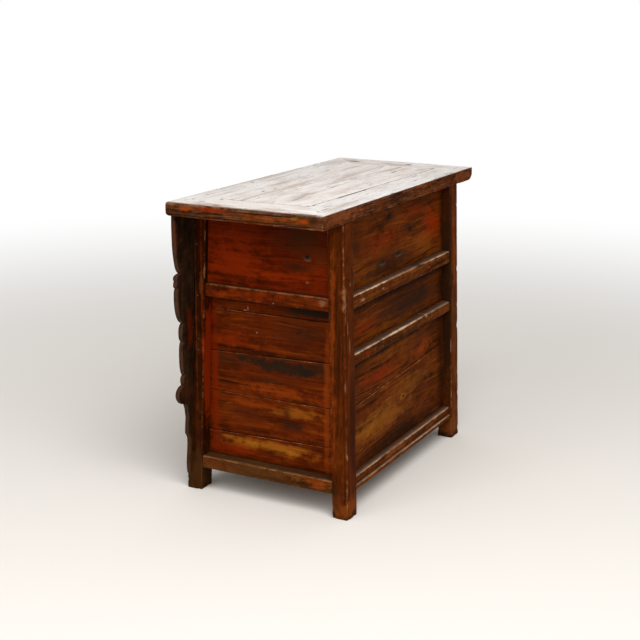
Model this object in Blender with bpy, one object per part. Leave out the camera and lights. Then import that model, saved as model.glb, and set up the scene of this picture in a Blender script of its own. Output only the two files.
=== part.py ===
"""A small East Asian coffer with drawers over doors, on splayed legs.

Metres, +Z up. The origin is on the floor under the middle of the piece; the front
faces -Y. Heights are measured from the floor. Inside the case a place is given by its
depth in from the outer faces of the legs, so every rail, panel and board follows the
splay of the legs.
"""
import math

import bmesh
import bpy
from mathutils import Matrix, Vector

# The top: a mitred frame round a floating panel.
HEIGHT = 0.840
TOP_LENGTH = 0.998
TOP_DEPTH = 0.466
TOP_THICKNESS = 0.0386
TOP_STILE_WIDTH = 0.102
TOP_END_WIDTH = 0.108
TOP_PANEL_THICKNESS = 0.014
FRONT_EDGE_RADIUS = 0.012
END_EDGE_RADIUS = 0.012
SMALL_EDGE_RADIUS = 0.003
BATTEN_WIDTH = 0.030
BATTEN_SETBACK = 0.004
# Sides and tip of the tenon through a mitre, as shares of the members' widths.
MITRE_TENON_INNER = 0.75
MITRE_TENON_OUTER = 0.35
MITRE_TENON_STOP = 0.25

# The case: how far the top stands out over the legs, and how far each leg leans out.
LEGS_INSIDE_TOP_END = 0.0055
LEGS_INSIDE_TOP_EDGE = 0.002
LEG_SPLAY_WIDE = 0.0095
LEG_SPLAY_DEEP = 0.026
LEG_WIDTH = 0.057
LEG_DEPTH = 0.049
LEG_ROUNDING = 0.004
LEG_TOP_TENON = 0.022

# Rails, from the floor up.
FLOOR_GAP = 0.0655
BOTTOM_RAIL_HEIGHT = 0.0375
DOOR_BAY_HEIGHT = 0.4625
MID_RAIL_HEIGHT = 0.0375
TOP_RAIL_HEIGHT = 0.028
SHELF_RAIL_UNDERSIDE = 0.4135
SHELF_RAIL_HEIGHT = 0.0315
RAIL_SETBACK = 0.004
RAIL_BACK_STEP = 0.004
TOP_RAIL_DEPTH = 0.030
RAIL_ROUNDING = 0.004

# Panels in their grooves.
PANEL_THICKNESS = 0.012
UPPER_SIDE_PANEL_SETBACK = 0.013
LOWER_SIDE_PANEL_SETBACK = 0.038
BACK_PANEL_SETBACK = 0.028
TONGUE_THICKNESS = 0.006
TONGUE_LENGTH = 0.006
SLIPPED_BOARD_GAP = 0.038

# Joinery.
FIT = 0.0003
TENON_LENGTH = 0.018
TENON_THICKNESS = 0.010
TENON_SHOULDER = 0.008
SHORT_TENON = 0.010

# Scalloped wing boards outside the front legs.
WING_THICKNESS = 0.015
WING_SETBACK = 0.001
WING_TONGUE = 0.008
WING_TOP_REACH = 0.095
LOBE_STEPS = 5

# Boards inside the case.
FLOOR_BOARD_THICKNESS = 0.012
FLOOR_BOARD_DROP = 0.012
FLOOR_BOARD_TAB = 0.008
FLOOR_TAB_END_GAP = 0.012
SHELF_THICKNESS = 0.012
SHELF_FRONT_DEPTH = 0.036
BEARER_WIDTH = 0.020
BEARER_HEIGHT = 0.024
BEARER_SHOULDER = 0.005
RUNNER_WIDTH = 0.038
RUNNER_HEIGHT = 0.025
CENTRE_RUNNER_WIDTH = 0.084
GUIDE_HEIGHT = 0.012
GUIDE_END_GAP = 0.010
DIVIDER_WIDTH = 0.036

# Drawers.
DRAWER_CLEARANCE = 0.0015
DRAWER_LIFT = 0.0006
DRAWER_FRONT_THICKNESS = 0.020
DRAWER_SIDE_THICKNESS = 0.012
DRAWER_SIDE_LAP = 0.010
DRAWER_SIDE_DROP = 0.012
DRAWER_BACK_THICKNESS = 0.012
DRAWER_BACK_GAP = 0.010
DRAWER_BOTTOM_THICKNESS = 0.008
DRAWER_BOTTOM_RISE = 0.008
DRAWER_GROOVE = 0.005

# Doors, which turn on wooden pins in the rails above and below them.
DOOR_THICKNESS = 0.022
DOOR_SETBACK = 0.006
DOOR_SIDE_GAP = 0.001
DOOR_MEETING_GAP = 0.001
DOOR_END_GAP = 0.002
DOOR_BORDER = 0.055
DOOR_FIELD_BEVEL = 0.014
DOOR_FIELD_DEPTH = 0.005
PIN_RADIUS = 0.006
PIN_LENGTH = 0.010
PIN_CLEARANCE = 0.0005
ARC_STEPS = 8

# Metal pulls: a lobed plate with two eyes that carry a bail.
PLATE_RADIUS = 0.030
PLATE_LOBES = 8
PLATE_LOBE_DEPTH = 0.0018
PLATE_THICKNESS = 0.0016
PLATE_POINTS = 48
EYE_RADIUS = 0.0045
EYE_ROUNDING = 0.0036
EYE_LENGTH = 0.005
EYE_HEIGHT = 0.0055
EYE_RISE = 0.006
BAIL_SPREAD = 0.018
BAIL_DROP = 0.028
BAIL_RADIUS = 0.0020
BAIL_SHOULDER = 0.006
BAIL_SIDES = 8
DOOR_PULL_INSET = 0.046
DOOR_PULL_HEIGHT = 0.360

# Sizes over the legs and heights that follow from the sizes above.
CASE_WIDTH_TOP = TOP_LENGTH - 2 * (TOP_END_WIDTH + LEGS_INSIDE_TOP_END)
CASE_WIDTH_FOOT = CASE_WIDTH_TOP + 2 * LEG_SPLAY_WIDE
CASE_DEPTH_TOP = TOP_DEPTH - 2 * LEGS_INSIDE_TOP_EDGE
CASE_DEPTH_FOOT = CASE_DEPTH_TOP + 2 * LEG_SPLAY_DEEP
LEG_HEIGHT = HEIGHT - TOP_THICKNESS
BOTTOM_RAIL_TOP = FLOOR_GAP + BOTTOM_RAIL_HEIGHT
MID_RAIL_UNDERSIDE = BOTTOM_RAIL_TOP + DOOR_BAY_HEIGHT
MID_RAIL_TOP = MID_RAIL_UNDERSIDE + MID_RAIL_HEIGHT
TOP_RAIL_TOP = LEG_HEIGHT - FIT
TOP_RAIL_UNDERSIDE = TOP_RAIL_TOP - TOP_RAIL_HEIGHT
SHELF_RAIL_TOP = SHELF_RAIL_UNDERSIDE + SHELF_RAIL_HEIGHT
SIDE_RAIL_INNER = LEG_WIDTH - RAIL_BACK_STEP
CROSS_RAIL_INNER = LEG_DEPTH - RAIL_BACK_STEP

SIDES = {"right": 1, "left": -1}
ENDS = {"front": -1, "back": 1}

# Outline of a wing board below its first curve: crests and hollows in turn, as
# (height, reach beyond the leg), then the plain taper that runs down the leg.
WING_FIRST_HOLLOW = (0.638, 0.060)
WING_LOBES = (
    ((0.628, 0.084), (0.6185, 0.0795)),
    ((0.6085, 0.083), (0.598, 0.0745)),
    ((0.584, 0.080), (0.496, 0.0435)),
    ((0.473, 0.056), (0.4437, 0.046)),
    ((0.417, 0.052), (0.346, 0.0365)),
    ((0.333, 0.0445), (0.3176, 0.039)),
    ((0.294, 0.067), (0.2605, 0.0295)),
)
WING_TAPER = (
    (0.241, 0.0215), (0.217, 0.0165), (0.170, 0.018), (0.153, 0.007),
    (0.134, 0.0045), (0.075, 0.008), (0.053, 0.005), (0.044, 0.0008),
)

# Finishes: base colour, roughness, metallic.
FINISHES = {
    "top": ((0.36, 0.27, 0.21), 0.45, 0.0),
    "frame": ((0.13, 0.055, 0.025), 0.40, 0.0),
    "panel": ((0.20, 0.065, 0.018), 0.38, 0.0),
    "wing": ((0.05, 0.022, 0.012), 0.45, 0.0),
    "inside": ((0.30, 0.20, 0.11), 0.70, 0.0),
    "metal": ((0.42, 0.30, 0.14), 0.35, 1.0),
}

pockets = {}


def case_x(z):
    """Half the width over the legs at height z."""
    share = z / LEG_HEIGHT
    return (CASE_WIDTH_FOOT + (CASE_WIDTH_TOP - CASE_WIDTH_FOOT) * share) / 2


def case_y(z):
    """Half the depth over the legs at height z."""
    share = z / LEG_HEIGHT
    return (CASE_DEPTH_FOOT + (CASE_DEPTH_TOP - CASE_DEPTH_FOOT) * share) / 2


def inside(sx, a, sy, b, z):
    """The point a in from the side's outer face and b in from the front's or back's."""
    return Vector((sx * (case_x(z) - a), sy * (case_y(z) - b), z))


def side_section(sx):
    """Cross-sections of a bar that runs from the front legs to the back legs."""
    def section(end, depth, near, far, low, high):
        return [inside(sx, near, end, depth, low), inside(sx, far, end, depth, low),
                inside(sx, far, end, depth, high), inside(sx, near, end, depth, high)]
    return section


def cross_section(sy):
    """Cross-sections of a bar that runs from the left legs to the right legs."""
    def section(end, depth, near, far, low, high):
        return [inside(end, depth, sy, near, low), inside(end, depth, sy, far, low),
                inside(end, depth, sy, far, high), inside(end, depth, sy, near, high)]
    return section


def side_sheet(sx):
    """Upright rectangles in the plane of a side, at one depth."""
    def sheet(depth, inset, low, high):
        return [inside(sx, depth, -1, inset, low), inside(sx, depth, 1, inset, low),
                inside(sx, depth, 1, inset, high), inside(sx, depth, -1, inset, high)]
    return sheet


def cross_sheet(sy):
    """Upright rectangles in the plane of the front or back, at one depth."""
    def sheet(depth, inset, low, high):
        return [inside(-1, inset, sy, depth, low), inside(1, inset, sy, depth, low),
                inside(1, inset, sy, depth, high), inside(-1, inset, sy, depth, high)]
    return sheet


def box_rings(x0, x1, y0, y1, z0, z1):
    """A straight box as two rings, bottom and top."""
    corners = ((x0, y0), (x1, y0), (x1, y1), (x0, y1))
    return [[Vector((x, y, z)) for x, y in corners] for z in (z0, z1)]


def loft(rings):
    """A closed mesh through rings of equally many points, and its vertices by ring."""
    mesh = bmesh.new()
    loops = [[mesh.verts.new(point) for point in ring] for ring in rings]
    count = len(rings[0])
    for lower, upper in zip(loops, loops[1:]):
        for i in range(count):
            j = (i + 1) % count
            mesh.faces.new((lower[i], lower[j], upper[j], upper[i]))
    mesh.faces.new(reversed(loops[0]))
    mesh.faces.new(loops[-1])
    bmesh.ops.recalc_face_normals(mesh, faces=mesh.faces)
    return mesh, loops


def round_long_edges(mesh, first, second, radius):
    """Round the edges that run from one ring of vertices to the next."""
    edges = [mesh.edges.get(pair) for pair in zip(first, second)]
    bmesh.ops.bevel(mesh, geom=edges, offset=radius, segments=2, profile=0.5, affect="EDGES")


def finish_material(name, finish):
    colour, roughness, metallic = FINISHES[finish]
    material = bpy.data.materials.new(name)
    material.use_nodes = True
    shader = material.node_tree.nodes["Principled BSDF"]
    shader.inputs["Base Color"].default_value = (*colour, 1.0)
    shader.inputs["Roughness"].default_value = roughness
    shader.inputs["Metallic"].default_value = metallic
    return material


def add_object(name, mesh, finish=None):
    """Turn a bmesh into a named object in world coordinates."""
    data = bpy.data.meshes.new(name)
    mesh.to_mesh(data)
    mesh.free()
    obj = bpy.data.objects.new(name, data)
    bpy.context.scene.collection.objects.link(obj)
    if finish:
        data.materials.append(finish_material(name, finish))
    return obj


def combine(obj, blocks, operation):
    """Cut closed meshes from an object, or join them to it, for good."""
    tools = []
    for block in blocks:
        tool = add_object("tool", block)
        step = obj.modifiers.new("step", "BOOLEAN")
        step.solver = "EXACT"
        step.operation = operation
        step.object = tool
        tools.append(tool)
    evaluated = obj.evaluated_get(bpy.context.evaluated_depsgraph_get())
    result = bpy.data.meshes.new_from_object(evaluated)
    obj.modifiers.clear()
    obj.data = result
    for tool in tools:
        bpy.data.objects.remove(tool)


def pocket(receivers, rings):
    """Note a pocket, to be cut from each receiver once all the pieces stand."""
    for name in receivers:
        pockets.setdefault(name, []).append(rings)


def cut_pockets():
    for name, rings_list in pockets.items():
        blocks = [loft(rings)[0] for rings in rings_list]
        combine(bpy.data.objects[name], blocks, "DIFFERENCE")


def bar(name, section, depth, near, far, low, high, receivers, finish="frame",
        tenon=TENON_LENGTH, shoulder=TENON_SHOULDER, setback=None):
    """A rail with a tenon at each end, and the mortises in what it meets.

    receivers names the pieces at the negative and the positive end. setback is how far
    the tenon lies behind the rail's outer face.
    """
    inner = near + (shoulder if setback is None else setback)
    tongue = (inner, inner + TENON_THICKNESS, low + shoulder, high - shoulder)
    grown = (tongue[0] - FIT, tongue[1] + FIT, tongue[2] - FIT, tongue[3] + FIT)
    root = depth + FIT
    tip = depth - tenon
    rings = [section(-1, tip, *tongue), section(-1, root, *tongue),
             section(-1, root, near, far, low, high), section(1, root, near, far, low, high),
             section(1, root, *tongue), section(1, tip, *tongue)]
    mesh, loops = loft(rings)
    round_long_edges(mesh, loops[2], loops[3], RAIL_ROUNDING)
    add_object(name, mesh, finish)
    for end, receiver in zip((-1, 1), receivers):
        pocket([receiver], [section(end, tip - FIT, *grown), section(end, root + FIT, *grown)])


def panel(name, sheet, face, inset, low, high, receivers, gap_above=FIT):
    """A panel with a bare-faced tongue on all four edges, and the grooves that hold it.

    gap_above is how far the thick field stops short of the rail above it.
    """
    back = face + PANEL_THICKNESS
    step = back - TONGUE_THICKNESS
    field = (inset + FIT, low + FIT, high - gap_above)
    tongue = (inset - TONGUE_LENGTH, low - TONGUE_LENGTH, high + TONGUE_LENGTH)
    grown = (tongue[0] - FIT, tongue[1] - FIT, tongue[2] + FIT)
    rings = [sheet(face, *field), sheet(step, *field), sheet(step, *tongue), sheet(back, *tongue)]
    add_object(name, loft(rings)[0], "panel")
    pocket(receivers, [sheet(step - FIT, *grown), sheet(back + FIT, *grown)])


def legs():
    """Four splayed legs, each with a tenon up into the top's long frame members."""
    for end, sy in ENDS.items():
        for side, sx in SIDES.items():
            def square(z, a0, a1, b0, b1):
                return [inside(sx, a0, sy, b0, z), inside(sx, a1, sy, b0, z),
                        inside(sx, a1, sy, b1, z), inside(sx, a0, sy, b1, z)]
            whole = (0.0, LEG_WIDTH, 0.0, LEG_DEPTH)
            a_mid, b_mid = LEG_WIDTH / 2, LEG_DEPTH / 2
            half = TENON_THICKNESS
            pin = (a_mid - half, a_mid + half, b_mid - half, b_mid + half)
            hole = (pin[0] - FIT, pin[1] + FIT, pin[2] - FIT, pin[3] + FIT)
            top = LEG_HEIGHT - FIT
            tip = LEG_HEIGHT + LEG_TOP_TENON
            mesh, loops = loft([square(0.0, *whole), square(top, *whole), square(top, *pin),
                                square(tip, *pin)])
            round_long_edges(mesh, loops[0], loops[1], LEG_ROUNDING)
            add_object(f"leg_{end}_{side}", mesh, "frame")
            pocket([f"top_stile_{end}"], [square(top - FIT, *hole), square(tip + FIT, *hole)])


def corner_arc(cx, cz, radius, start, end):
    """Points of a quarter round in an edge profile, from one angle to another."""
    for i in range(ARC_STEPS // 2 + 1):
        angle = math.radians(start + (end - start) * i / (ARC_STEPS // 2))
        yield cx + radius * math.cos(angle), cz + radius * math.sin(angle)


def edge_profile(outer, width, low_radius, high_radius):
    """Profile of a frame member: square inside, rounded at its outer edge."""
    low, high = LEG_HEIGHT, HEIGHT
    points = [(outer - width, high), (outer - width, low)]
    points += corner_arc(outer - low_radius, low + low_radius, low_radius, 270, 360)
    points += corner_arc(outer - high_radius, high - high_radius, high_radius, 0, 90)
    return points


def top_frame():
    """Two long members and two ends, mitred at the corners and tenoned through the mitre."""
    half_x, half_y = TOP_LENGTH / 2, TOP_DEPTH / 2
    mitre = TOP_END_WIDTH / TOP_STILE_WIDTH
    for end, sy in ENDS.items():
        radius = FRONT_EDGE_RADIUS if sy < 0 else SMALL_EDGE_RADIUS
        profile = edge_profile(half_y, TOP_STILE_WIDTH, radius, radius)
        rings = [[Vector((sx * (half_x - (half_y - y) * mitre - FIT), sy * y, z)) for y, z in profile]
                 for sx in (-1, 1)]
        add_object(f"top_stile_{end}", loft(rings)[0], "top")
    mid = (LEG_HEIGHT + HEIGHT - TOP_PANEL_THICKNESS) / 2
    tenon_low, tenon_high = mid - TENON_THICKNESS / 2, mid + TENON_THICKNESS / 2
    near = half_x - TOP_END_WIDTH * MITRE_TENON_INNER
    far = half_x - TOP_END_WIDTH * MITRE_TENON_OUTER
    for side, sx in SIDES.items():
        profile = edge_profile(half_x, TOP_END_WIDTH, END_EDGE_RADIUS, SMALL_EDGE_RADIUS)
        rings = [[Vector((sx * x, sy * (half_y - (half_x - x) / mitre - FIT), z)) for x, z in profile]
                 for sy in (-1, 1)]
        name = f"top_end_{side}"
        obj = add_object(name, loft(rings)[0], "top")
        reach = half_y - TOP_STILE_WIDTH * MITRE_TENON_STOP
        root = half_y - TOP_STILE_WIDTH - TENON_THICKNESS
        x0, x1 = sorted((sx * near, sx * far))
        for end, sy in ENDS.items():
            y0, y1 = sorted((sy * root, sy * reach))
            combine(obj, [loft(box_rings(x0, x1, y0, y1, tenon_low, tenon_high))[0]], "UNION")
            pocket([f"top_stile_{end}"],
                   box_rings(x0 - FIT, x1 + FIT, y0 - FIT, y1 + FIT, tenon_low - FIT, tenon_high + FIT))


def top_panel():
    """The floating panel of the top and the two battens that stiffen it."""
    half_x = TOP_LENGTH / 2 - TOP_END_WIDTH
    half_y = TOP_DEPTH / 2 - TOP_STILE_WIDTH
    low = HEIGHT - TOP_PANEL_THICKNESS
    step = low + TONGUE_THICKNESS

    def outline(grow, z):
        return [Vector((sx * (half_x + grow), sy * (half_y + grow), z))
                for sx, sy in ((-1, -1), (1, -1), (1, 1), (-1, 1))]
    add_object("top_panel", loft([outline(TONGUE_LENGTH, low), outline(TONGUE_LENGTH, step),
                                  outline(-FIT, step), outline(-FIT, HEIGHT)])[0], "top")
    frame = ["top_stile_front", "top_stile_back", "top_end_right", "top_end_left"]
    pocket(frame, [outline(TONGUE_LENGTH + FIT, low - FIT), outline(TONGUE_LENGTH + FIT, step + FIT)])
    for side, sx in SIDES.items():
        outer = case_x(LEG_HEIGHT) - BATTEN_SETBACK
        inner = outer - BATTEN_WIDTH
        top = low - FIT
        tongue = (inner + TENON_SHOULDER, outer - TENON_SHOULDER, LEG_HEIGHT + TENON_SHOULDER,
                  top - SHORT_TENON / 2)

        def section(y, x0, x1, z0, z1):
            return [Vector((sx * x, y, z)) for x, z in ((x0, z0), (x1, z0), (x1, z1), (x0, z1))]
        whole = (inner, outer, LEG_HEIGHT, top)
        root, tip = half_y - FIT, half_y + SHORT_TENON
        add_object(f"top_batten_{side}", loft([
            section(-tip, *tongue), section(-root, *tongue), section(-root, *whole),
            section(root, *whole), section(root, *tongue), section(tip, *tongue)])[0], "inside")
        grown = (tongue[0] - FIT, tongue[1] + FIT, tongue[2] - FIT, tongue[3] + FIT)
        for end, sy in ENDS.items():
            pocket([f"top_stile_{end}"],
                   [section(sy * (root - FIT), *grown), section(sy * (tip + FIT), *grown)])


def side_frames():
    """Rails and panels between the front and back legs on each side."""
    for side, sx in SIDES.items():
        section = side_section(sx)
        posts = [f"leg_front_{side}", f"leg_back_{side}"]
        tenon_setback = UPPER_SIDE_PANEL_SETBACK + TENON_SHOULDER - RAIL_SETBACK
        for name, low, height in (("bottom", FLOOR_GAP, BOTTOM_RAIL_HEIGHT),
                                  ("mid", MID_RAIL_UNDERSIDE, MID_RAIL_HEIGHT)):
            bar(f"side_{name}_rail_{side}", section, LEG_DEPTH, RAIL_SETBACK, SIDE_RAIL_INNER,
                low, low + height, posts, setback=tenon_setback)
        sheet = side_sheet(sx)
        panel(f"side_upper_panel_{side}", sheet, UPPER_SIDE_PANEL_SETBACK, LEG_DEPTH, MID_RAIL_TOP,
              LEG_HEIGHT, posts + [f"side_mid_rail_{side}", f"top_batten_{side}", "top_stile_front",
                                   "top_stile_back"])
        gap_above = SLIPPED_BOARD_GAP if sx > 0 else FIT
        panel(f"side_lower_panel_{side}", sheet, LOWER_SIDE_PANEL_SETBACK, LEG_DEPTH, BOTTOM_RAIL_TOP,
              MID_RAIL_UNDERSIDE, posts + [f"side_mid_rail_{side}", f"side_bottom_rail_{side}"],
              gap_above)


def back_frame():
    """Three rails and three panels between the back legs."""
    section, sheet = cross_section(1), cross_sheet(1)
    posts = ["leg_back_left", "leg_back_right"]
    rails = (("bottom", FLOOR_GAP, BOTTOM_RAIL_HEIGHT),
             ("shelf", SHELF_RAIL_UNDERSIDE, SHELF_RAIL_HEIGHT),
             ("mid", MID_RAIL_UNDERSIDE, MID_RAIL_HEIGHT))
    for name, low, height in rails:
        bar(f"back_{name}_rail", section, LEG_WIDTH, RAIL_SETBACK, CROSS_RAIL_INNER, low, low + height,
            posts)
    panels = (("lower", BOTTOM_RAIL_TOP, SHELF_RAIL_UNDERSIDE, "back_bottom_rail", "back_shelf_rail"),
              ("middle", SHELF_RAIL_TOP, MID_RAIL_UNDERSIDE, "back_shelf_rail", "back_mid_rail"),
              ("upper", MID_RAIL_TOP, LEG_HEIGHT, "back_mid_rail", "top_stile_back"))
    for name, low, high, below, above in panels:
        panel(f"back_{name}_panel", sheet, BACK_PANEL_SETBACK, LEG_WIDTH, low, high, posts + [below, above])


def front_frame():
    """Three rails between the front legs and the post between the drawers."""
    section = cross_section(-1)
    posts = ["leg_front_left", "leg_front_right"]
    rails = (("bottom", FLOOR_GAP, BOTTOM_RAIL_HEIGHT, CROSS_RAIL_INNER),
             ("mid", MID_RAIL_UNDERSIDE, MID_RAIL_HEIGHT, CROSS_RAIL_INNER),
             ("top", TOP_RAIL_UNDERSIDE, TOP_RAIL_HEIGHT, RAIL_SETBACK + TOP_RAIL_DEPTH))
    for name, low, height, inner in rails:
        bar(f"front_{name}_rail", section, LEG_WIDTH, RAIL_SETBACK, inner, low, low + height, posts)
    half = DIVIDER_WIDTH / 2
    low, high = MID_RAIL_TOP + FIT, TOP_RAIL_UNDERSIDE - FIT
    near, far = RAIL_SETBACK, RAIL_SETBACK + TOP_RAIL_DEPTH

    def square(z, width, b0, b1):
        return [Vector((x, b - case_y(z), z)) for x, b in
                ((-width, b0), (width, b0), (width, b1), (-width, b1))]
    pin = (half - TENON_SHOULDER, near + TENON_SHOULDER, far - TENON_SHOULDER)
    hole = (pin[0] + FIT, pin[1] - FIT, pin[2] + FIT)
    below, above = low - SHORT_TENON, high + SHORT_TENON
    mesh, loops = loft([square(below, *pin), square(low, *pin), square(low, half, near, far),
                        square(high, half, near, far), square(high, *pin), square(above, *pin)])
    round_long_edges(mesh, loops[2], loops[3], RAIL_ROUNDING)
    add_object("drawer_divider", mesh, "frame")
    pocket(["front_mid_rail"], [square(below - FIT, *hole), square(low + FIT, *hole)])
    pocket(["front_top_rail"], [square(high - FIT, *hole), square(above + FIT, *hole)])


def quarter_curve(start, end, from_crest):
    """Points of a quarter ellipse between a crest and a hollow, without the start."""
    for i in range(1, LOBE_STEPS + 1):
        turn = i / LOBE_STEPS * math.pi / 2
        if from_crest:
            along, out = math.sin(turn), 1 - math.cos(turn)
        else:
            along, out = 1 - math.cos(turn), math.sin(turn)
        yield start[0] + (end[0] - start[0]) * along, start[1] + (end[1] - start[1]) * out


def wing_outline():
    """Outer edge of a wing board from the top down, as (height, reach)."""
    crest = (LEG_HEIGHT - FIT, WING_TOP_REACH)
    points = [crest]
    points += quarter_curve(crest, WING_FIRST_HOLLOW, True)
    hollow = WING_FIRST_HOLLOW
    for crest, next_hollow in WING_LOBES:
        points += quarter_curve(hollow, crest, False)
        points += quarter_curve(crest, next_hollow, True)
        hollow = next_hollow
    return points + list(WING_TAPER)


def wings():
    """The scalloped boards outside the front legs, tongued into the legs."""
    outline = wing_outline()
    top, bottom = outline[0][0], outline[-1][0]
    for side, sx in SIDES.items():
        def ring(b):
            edge = [inside(sx, -reach, -1, b, z) for z, reach in outline]
            return edge + [inside(sx, WING_TONGUE, -1, b, z) for z in (bottom, top)]
        face, back = WING_SETBACK, WING_SETBACK + WING_THICKNESS
        add_object(f"wing_{side}", loft([ring(face), ring(back)])[0], "wing")
        groove = [[inside(sx, a, -1, b, z) for a, b in
                   ((-WING_TONGUE, face - LEG_ROUNDING), (WING_TONGUE + FIT, face - LEG_ROUNDING),
                    (WING_TONGUE + FIT, back + FIT), (-WING_TONGUE, back + FIT))]
                  for z in (bottom - FIT, LEG_HEIGHT + FIT)]
        pocket([f"leg_front_{side}"], groove)


def floor_board():
    """The bottom of the cabinet, let into grooves in the four bottom rails."""
    high = BOTTOM_RAIL_TOP - FLOOR_BOARD_DROP
    low = high - FLOOR_BOARD_THICKNESS
    level = (low + high) / 2
    clear_x = case_x(level) - LEG_WIDTH - FLOOR_TAB_END_GAP
    clear_y = case_y(level) - LEG_DEPTH - FLOOR_TAB_END_GAP
    reach_x = case_x(level) - SIDE_RAIL_INNER + FLOOR_BOARD_TAB
    reach_y = case_y(level) - CROSS_RAIL_INNER + FLOOR_BOARD_TAB
    body_x = case_x(level) - LEG_WIDTH - RAIL_BACK_STEP
    body_y = case_y(level) - LEG_DEPTH - RAIL_BACK_STEP
    quarter = [(body_x, body_y), (clear_x, body_y), (clear_x, reach_y)]
    outline = [(reach_x, clear_y), (body_x, clear_y)] + quarter
    points = []
    for mx, my, order in ((1, 1, 1), (-1, 1, -1), (-1, -1, 1), (1, -1, -1)):
        points += [(mx * x, my * y) for x, y in outline[::order]]
    rings = [[Vector((x, y, z)) for x, y in points] for z in (low, high)]
    add_object("floor_board", loft(rings)[0], "inside")
    for side, sx in SIDES.items():
        x0, x1 = sorted((sx * body_x, sx * (reach_x + FIT)))
        pocket([f"side_bottom_rail_{side}"],
               box_rings(x0, x1, -clear_y - FIT, clear_y + FIT, low - FIT, high + FIT))
    for end, sy in ENDS.items():
        y0, y1 = sorted((sy * body_y, sy * (reach_y + FIT)))
        pocket([f"{end}_bottom_rail"],
               box_rings(-clear_x - FIT, clear_x + FIT, y0, y1, low - FIT, high + FIT))


def shelf():
    """A shelf level with the back's middle rail, on two bearers fixed to the legs."""
    low = SHELF_RAIL_TOP - SHELF_THICKNESS
    bearer_top = low - FIT
    near = LEG_WIDTH + FIT
    far = near + BEARER_WIDTH
    back = CROSS_RAIL_INNER + FIT
    for side, sx in SIDES.items():
        def ring(sy, depth, a0, a1, z0, z1):
            return [inside(sx, a0, sy, depth, z0), inside(sx, a1, sy, depth, z0),
                    inside(sx, a1, sy, depth, z1), inside(sx, a0, sy, depth, z1)]
        whole = (near, far, bearer_top - BEARER_HEIGHT, bearer_top)
        tongue = (near + BEARER_SHOULDER, far - BEARER_SHOULDER, SHELF_RAIL_UNDERSIDE + TENON_SHOULDER,
                  bearer_top - BEARER_SHOULDER)
        grown = (tongue[0] - FIT, tongue[1] + FIT, tongue[2] - FIT, tongue[3] + FIT)
        tip = back - SHORT_TENON
        add_object(f"shelf_bearer_{side}", loft([
            ring(-1, SHELF_FRONT_DEPTH, *whole), ring(1, back, *whole),
            ring(1, back, *tongue), ring(1, tip, *tongue)])[0], "inside")
        pocket(["back_shelf_rail"], [ring(1, tip - FIT, *grown), ring(1, back + FIT, *grown)])
    rings = [[inside(-1, near, -1, SHELF_FRONT_DEPTH, z), inside(1, near, -1, SHELF_FRONT_DEPTH, z),
              inside(1, near, 1, LEG_DEPTH + FIT, z), inside(-1, near, 1, LEG_DEPTH + FIT, z)]
             for z in (low, SHELF_RAIL_TOP)]
    add_object("shelf", loft(rings)[0], "inside")


def drawer_runners():
    """Three bars from the front rail to the back rail, which the drawers slide on."""
    high = MID_RAIL_TOP
    low = high - RUNNER_HEIGHT
    root = CROSS_RAIL_INNER + FIT
    tip = root - SHORT_TENON
    tenon_low, tenon_high = low + TENON_SHOULDER, high - TENON_SHOULDER
    outer = case_x(high) - LEG_WIDTH - FIT
    half = CENTRE_RUNNER_WIDTH / 2
    places = {"right": (outer - RUNNER_WIDTH, outer), "centre": (-half, half),
              "left": (-outer, RUNNER_WIDTH - outer)}
    for place, (x0, x1) in places.items():
        def ring(sy, depth, inset, z0, z1):
            return [Vector((x, sy * (case_y(z) - depth), z)) for x, z in
                    ((x0 + inset, z0), (x1 - inset, z0), (x1 - inset, z1), (x0 + inset, z1))]
        tongue = (TENON_SHOULDER, tenon_low, tenon_high)
        hole = (TENON_SHOULDER - FIT, tenon_low - FIT, tenon_high + FIT)
        rings = []
        for sy in (-1, 1):
            stack = [ring(sy, tip, *tongue), ring(sy, root, *tongue), ring(sy, root, 0.0, low, high)]
            rings += stack if sy < 0 else stack[::-1]
        obj = add_object(f"drawer_runner_{place}", loft(rings)[0], "inside")
        for name, sy in (("front_mid_rail", -1), ("back_mid_rail", 1)):
            pocket([name], [ring(sy, tip - FIT, *hole), ring(sy, root + FIT, *hole)])
        if place == "centre":
            guide_half = DIVIDER_WIDTH / 2
            front = CROSS_RAIL_INNER + GUIDE_END_GAP - case_y(high)
            back = case_y(high) - CROSS_RAIL_INNER - GUIDE_END_GAP
            guide = box_rings(-guide_half, guide_half, front, back, low + TENON_SHOULDER,
                              high + GUIDE_HEIGHT)
            combine(obj, [loft(guide)[0]], "UNION")


def drawer_sizes():
    """Heights and side planes that all the pieces of a drawer share."""
    low = MID_RAIL_TOP + DRAWER_LIFT
    high = TOP_RAIL_UNDERSIDE - DRAWER_CLEARANCE
    inner = DIVIDER_WIDTH / 2 + DRAWER_CLEARANCE
    outer = case_x(high) - LEG_WIDTH - DRAWER_CLEARANCE
    back = case_y(high) - LEG_DEPTH - DRAWER_BACK_GAP
    return low, high, inner, outer, back


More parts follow.
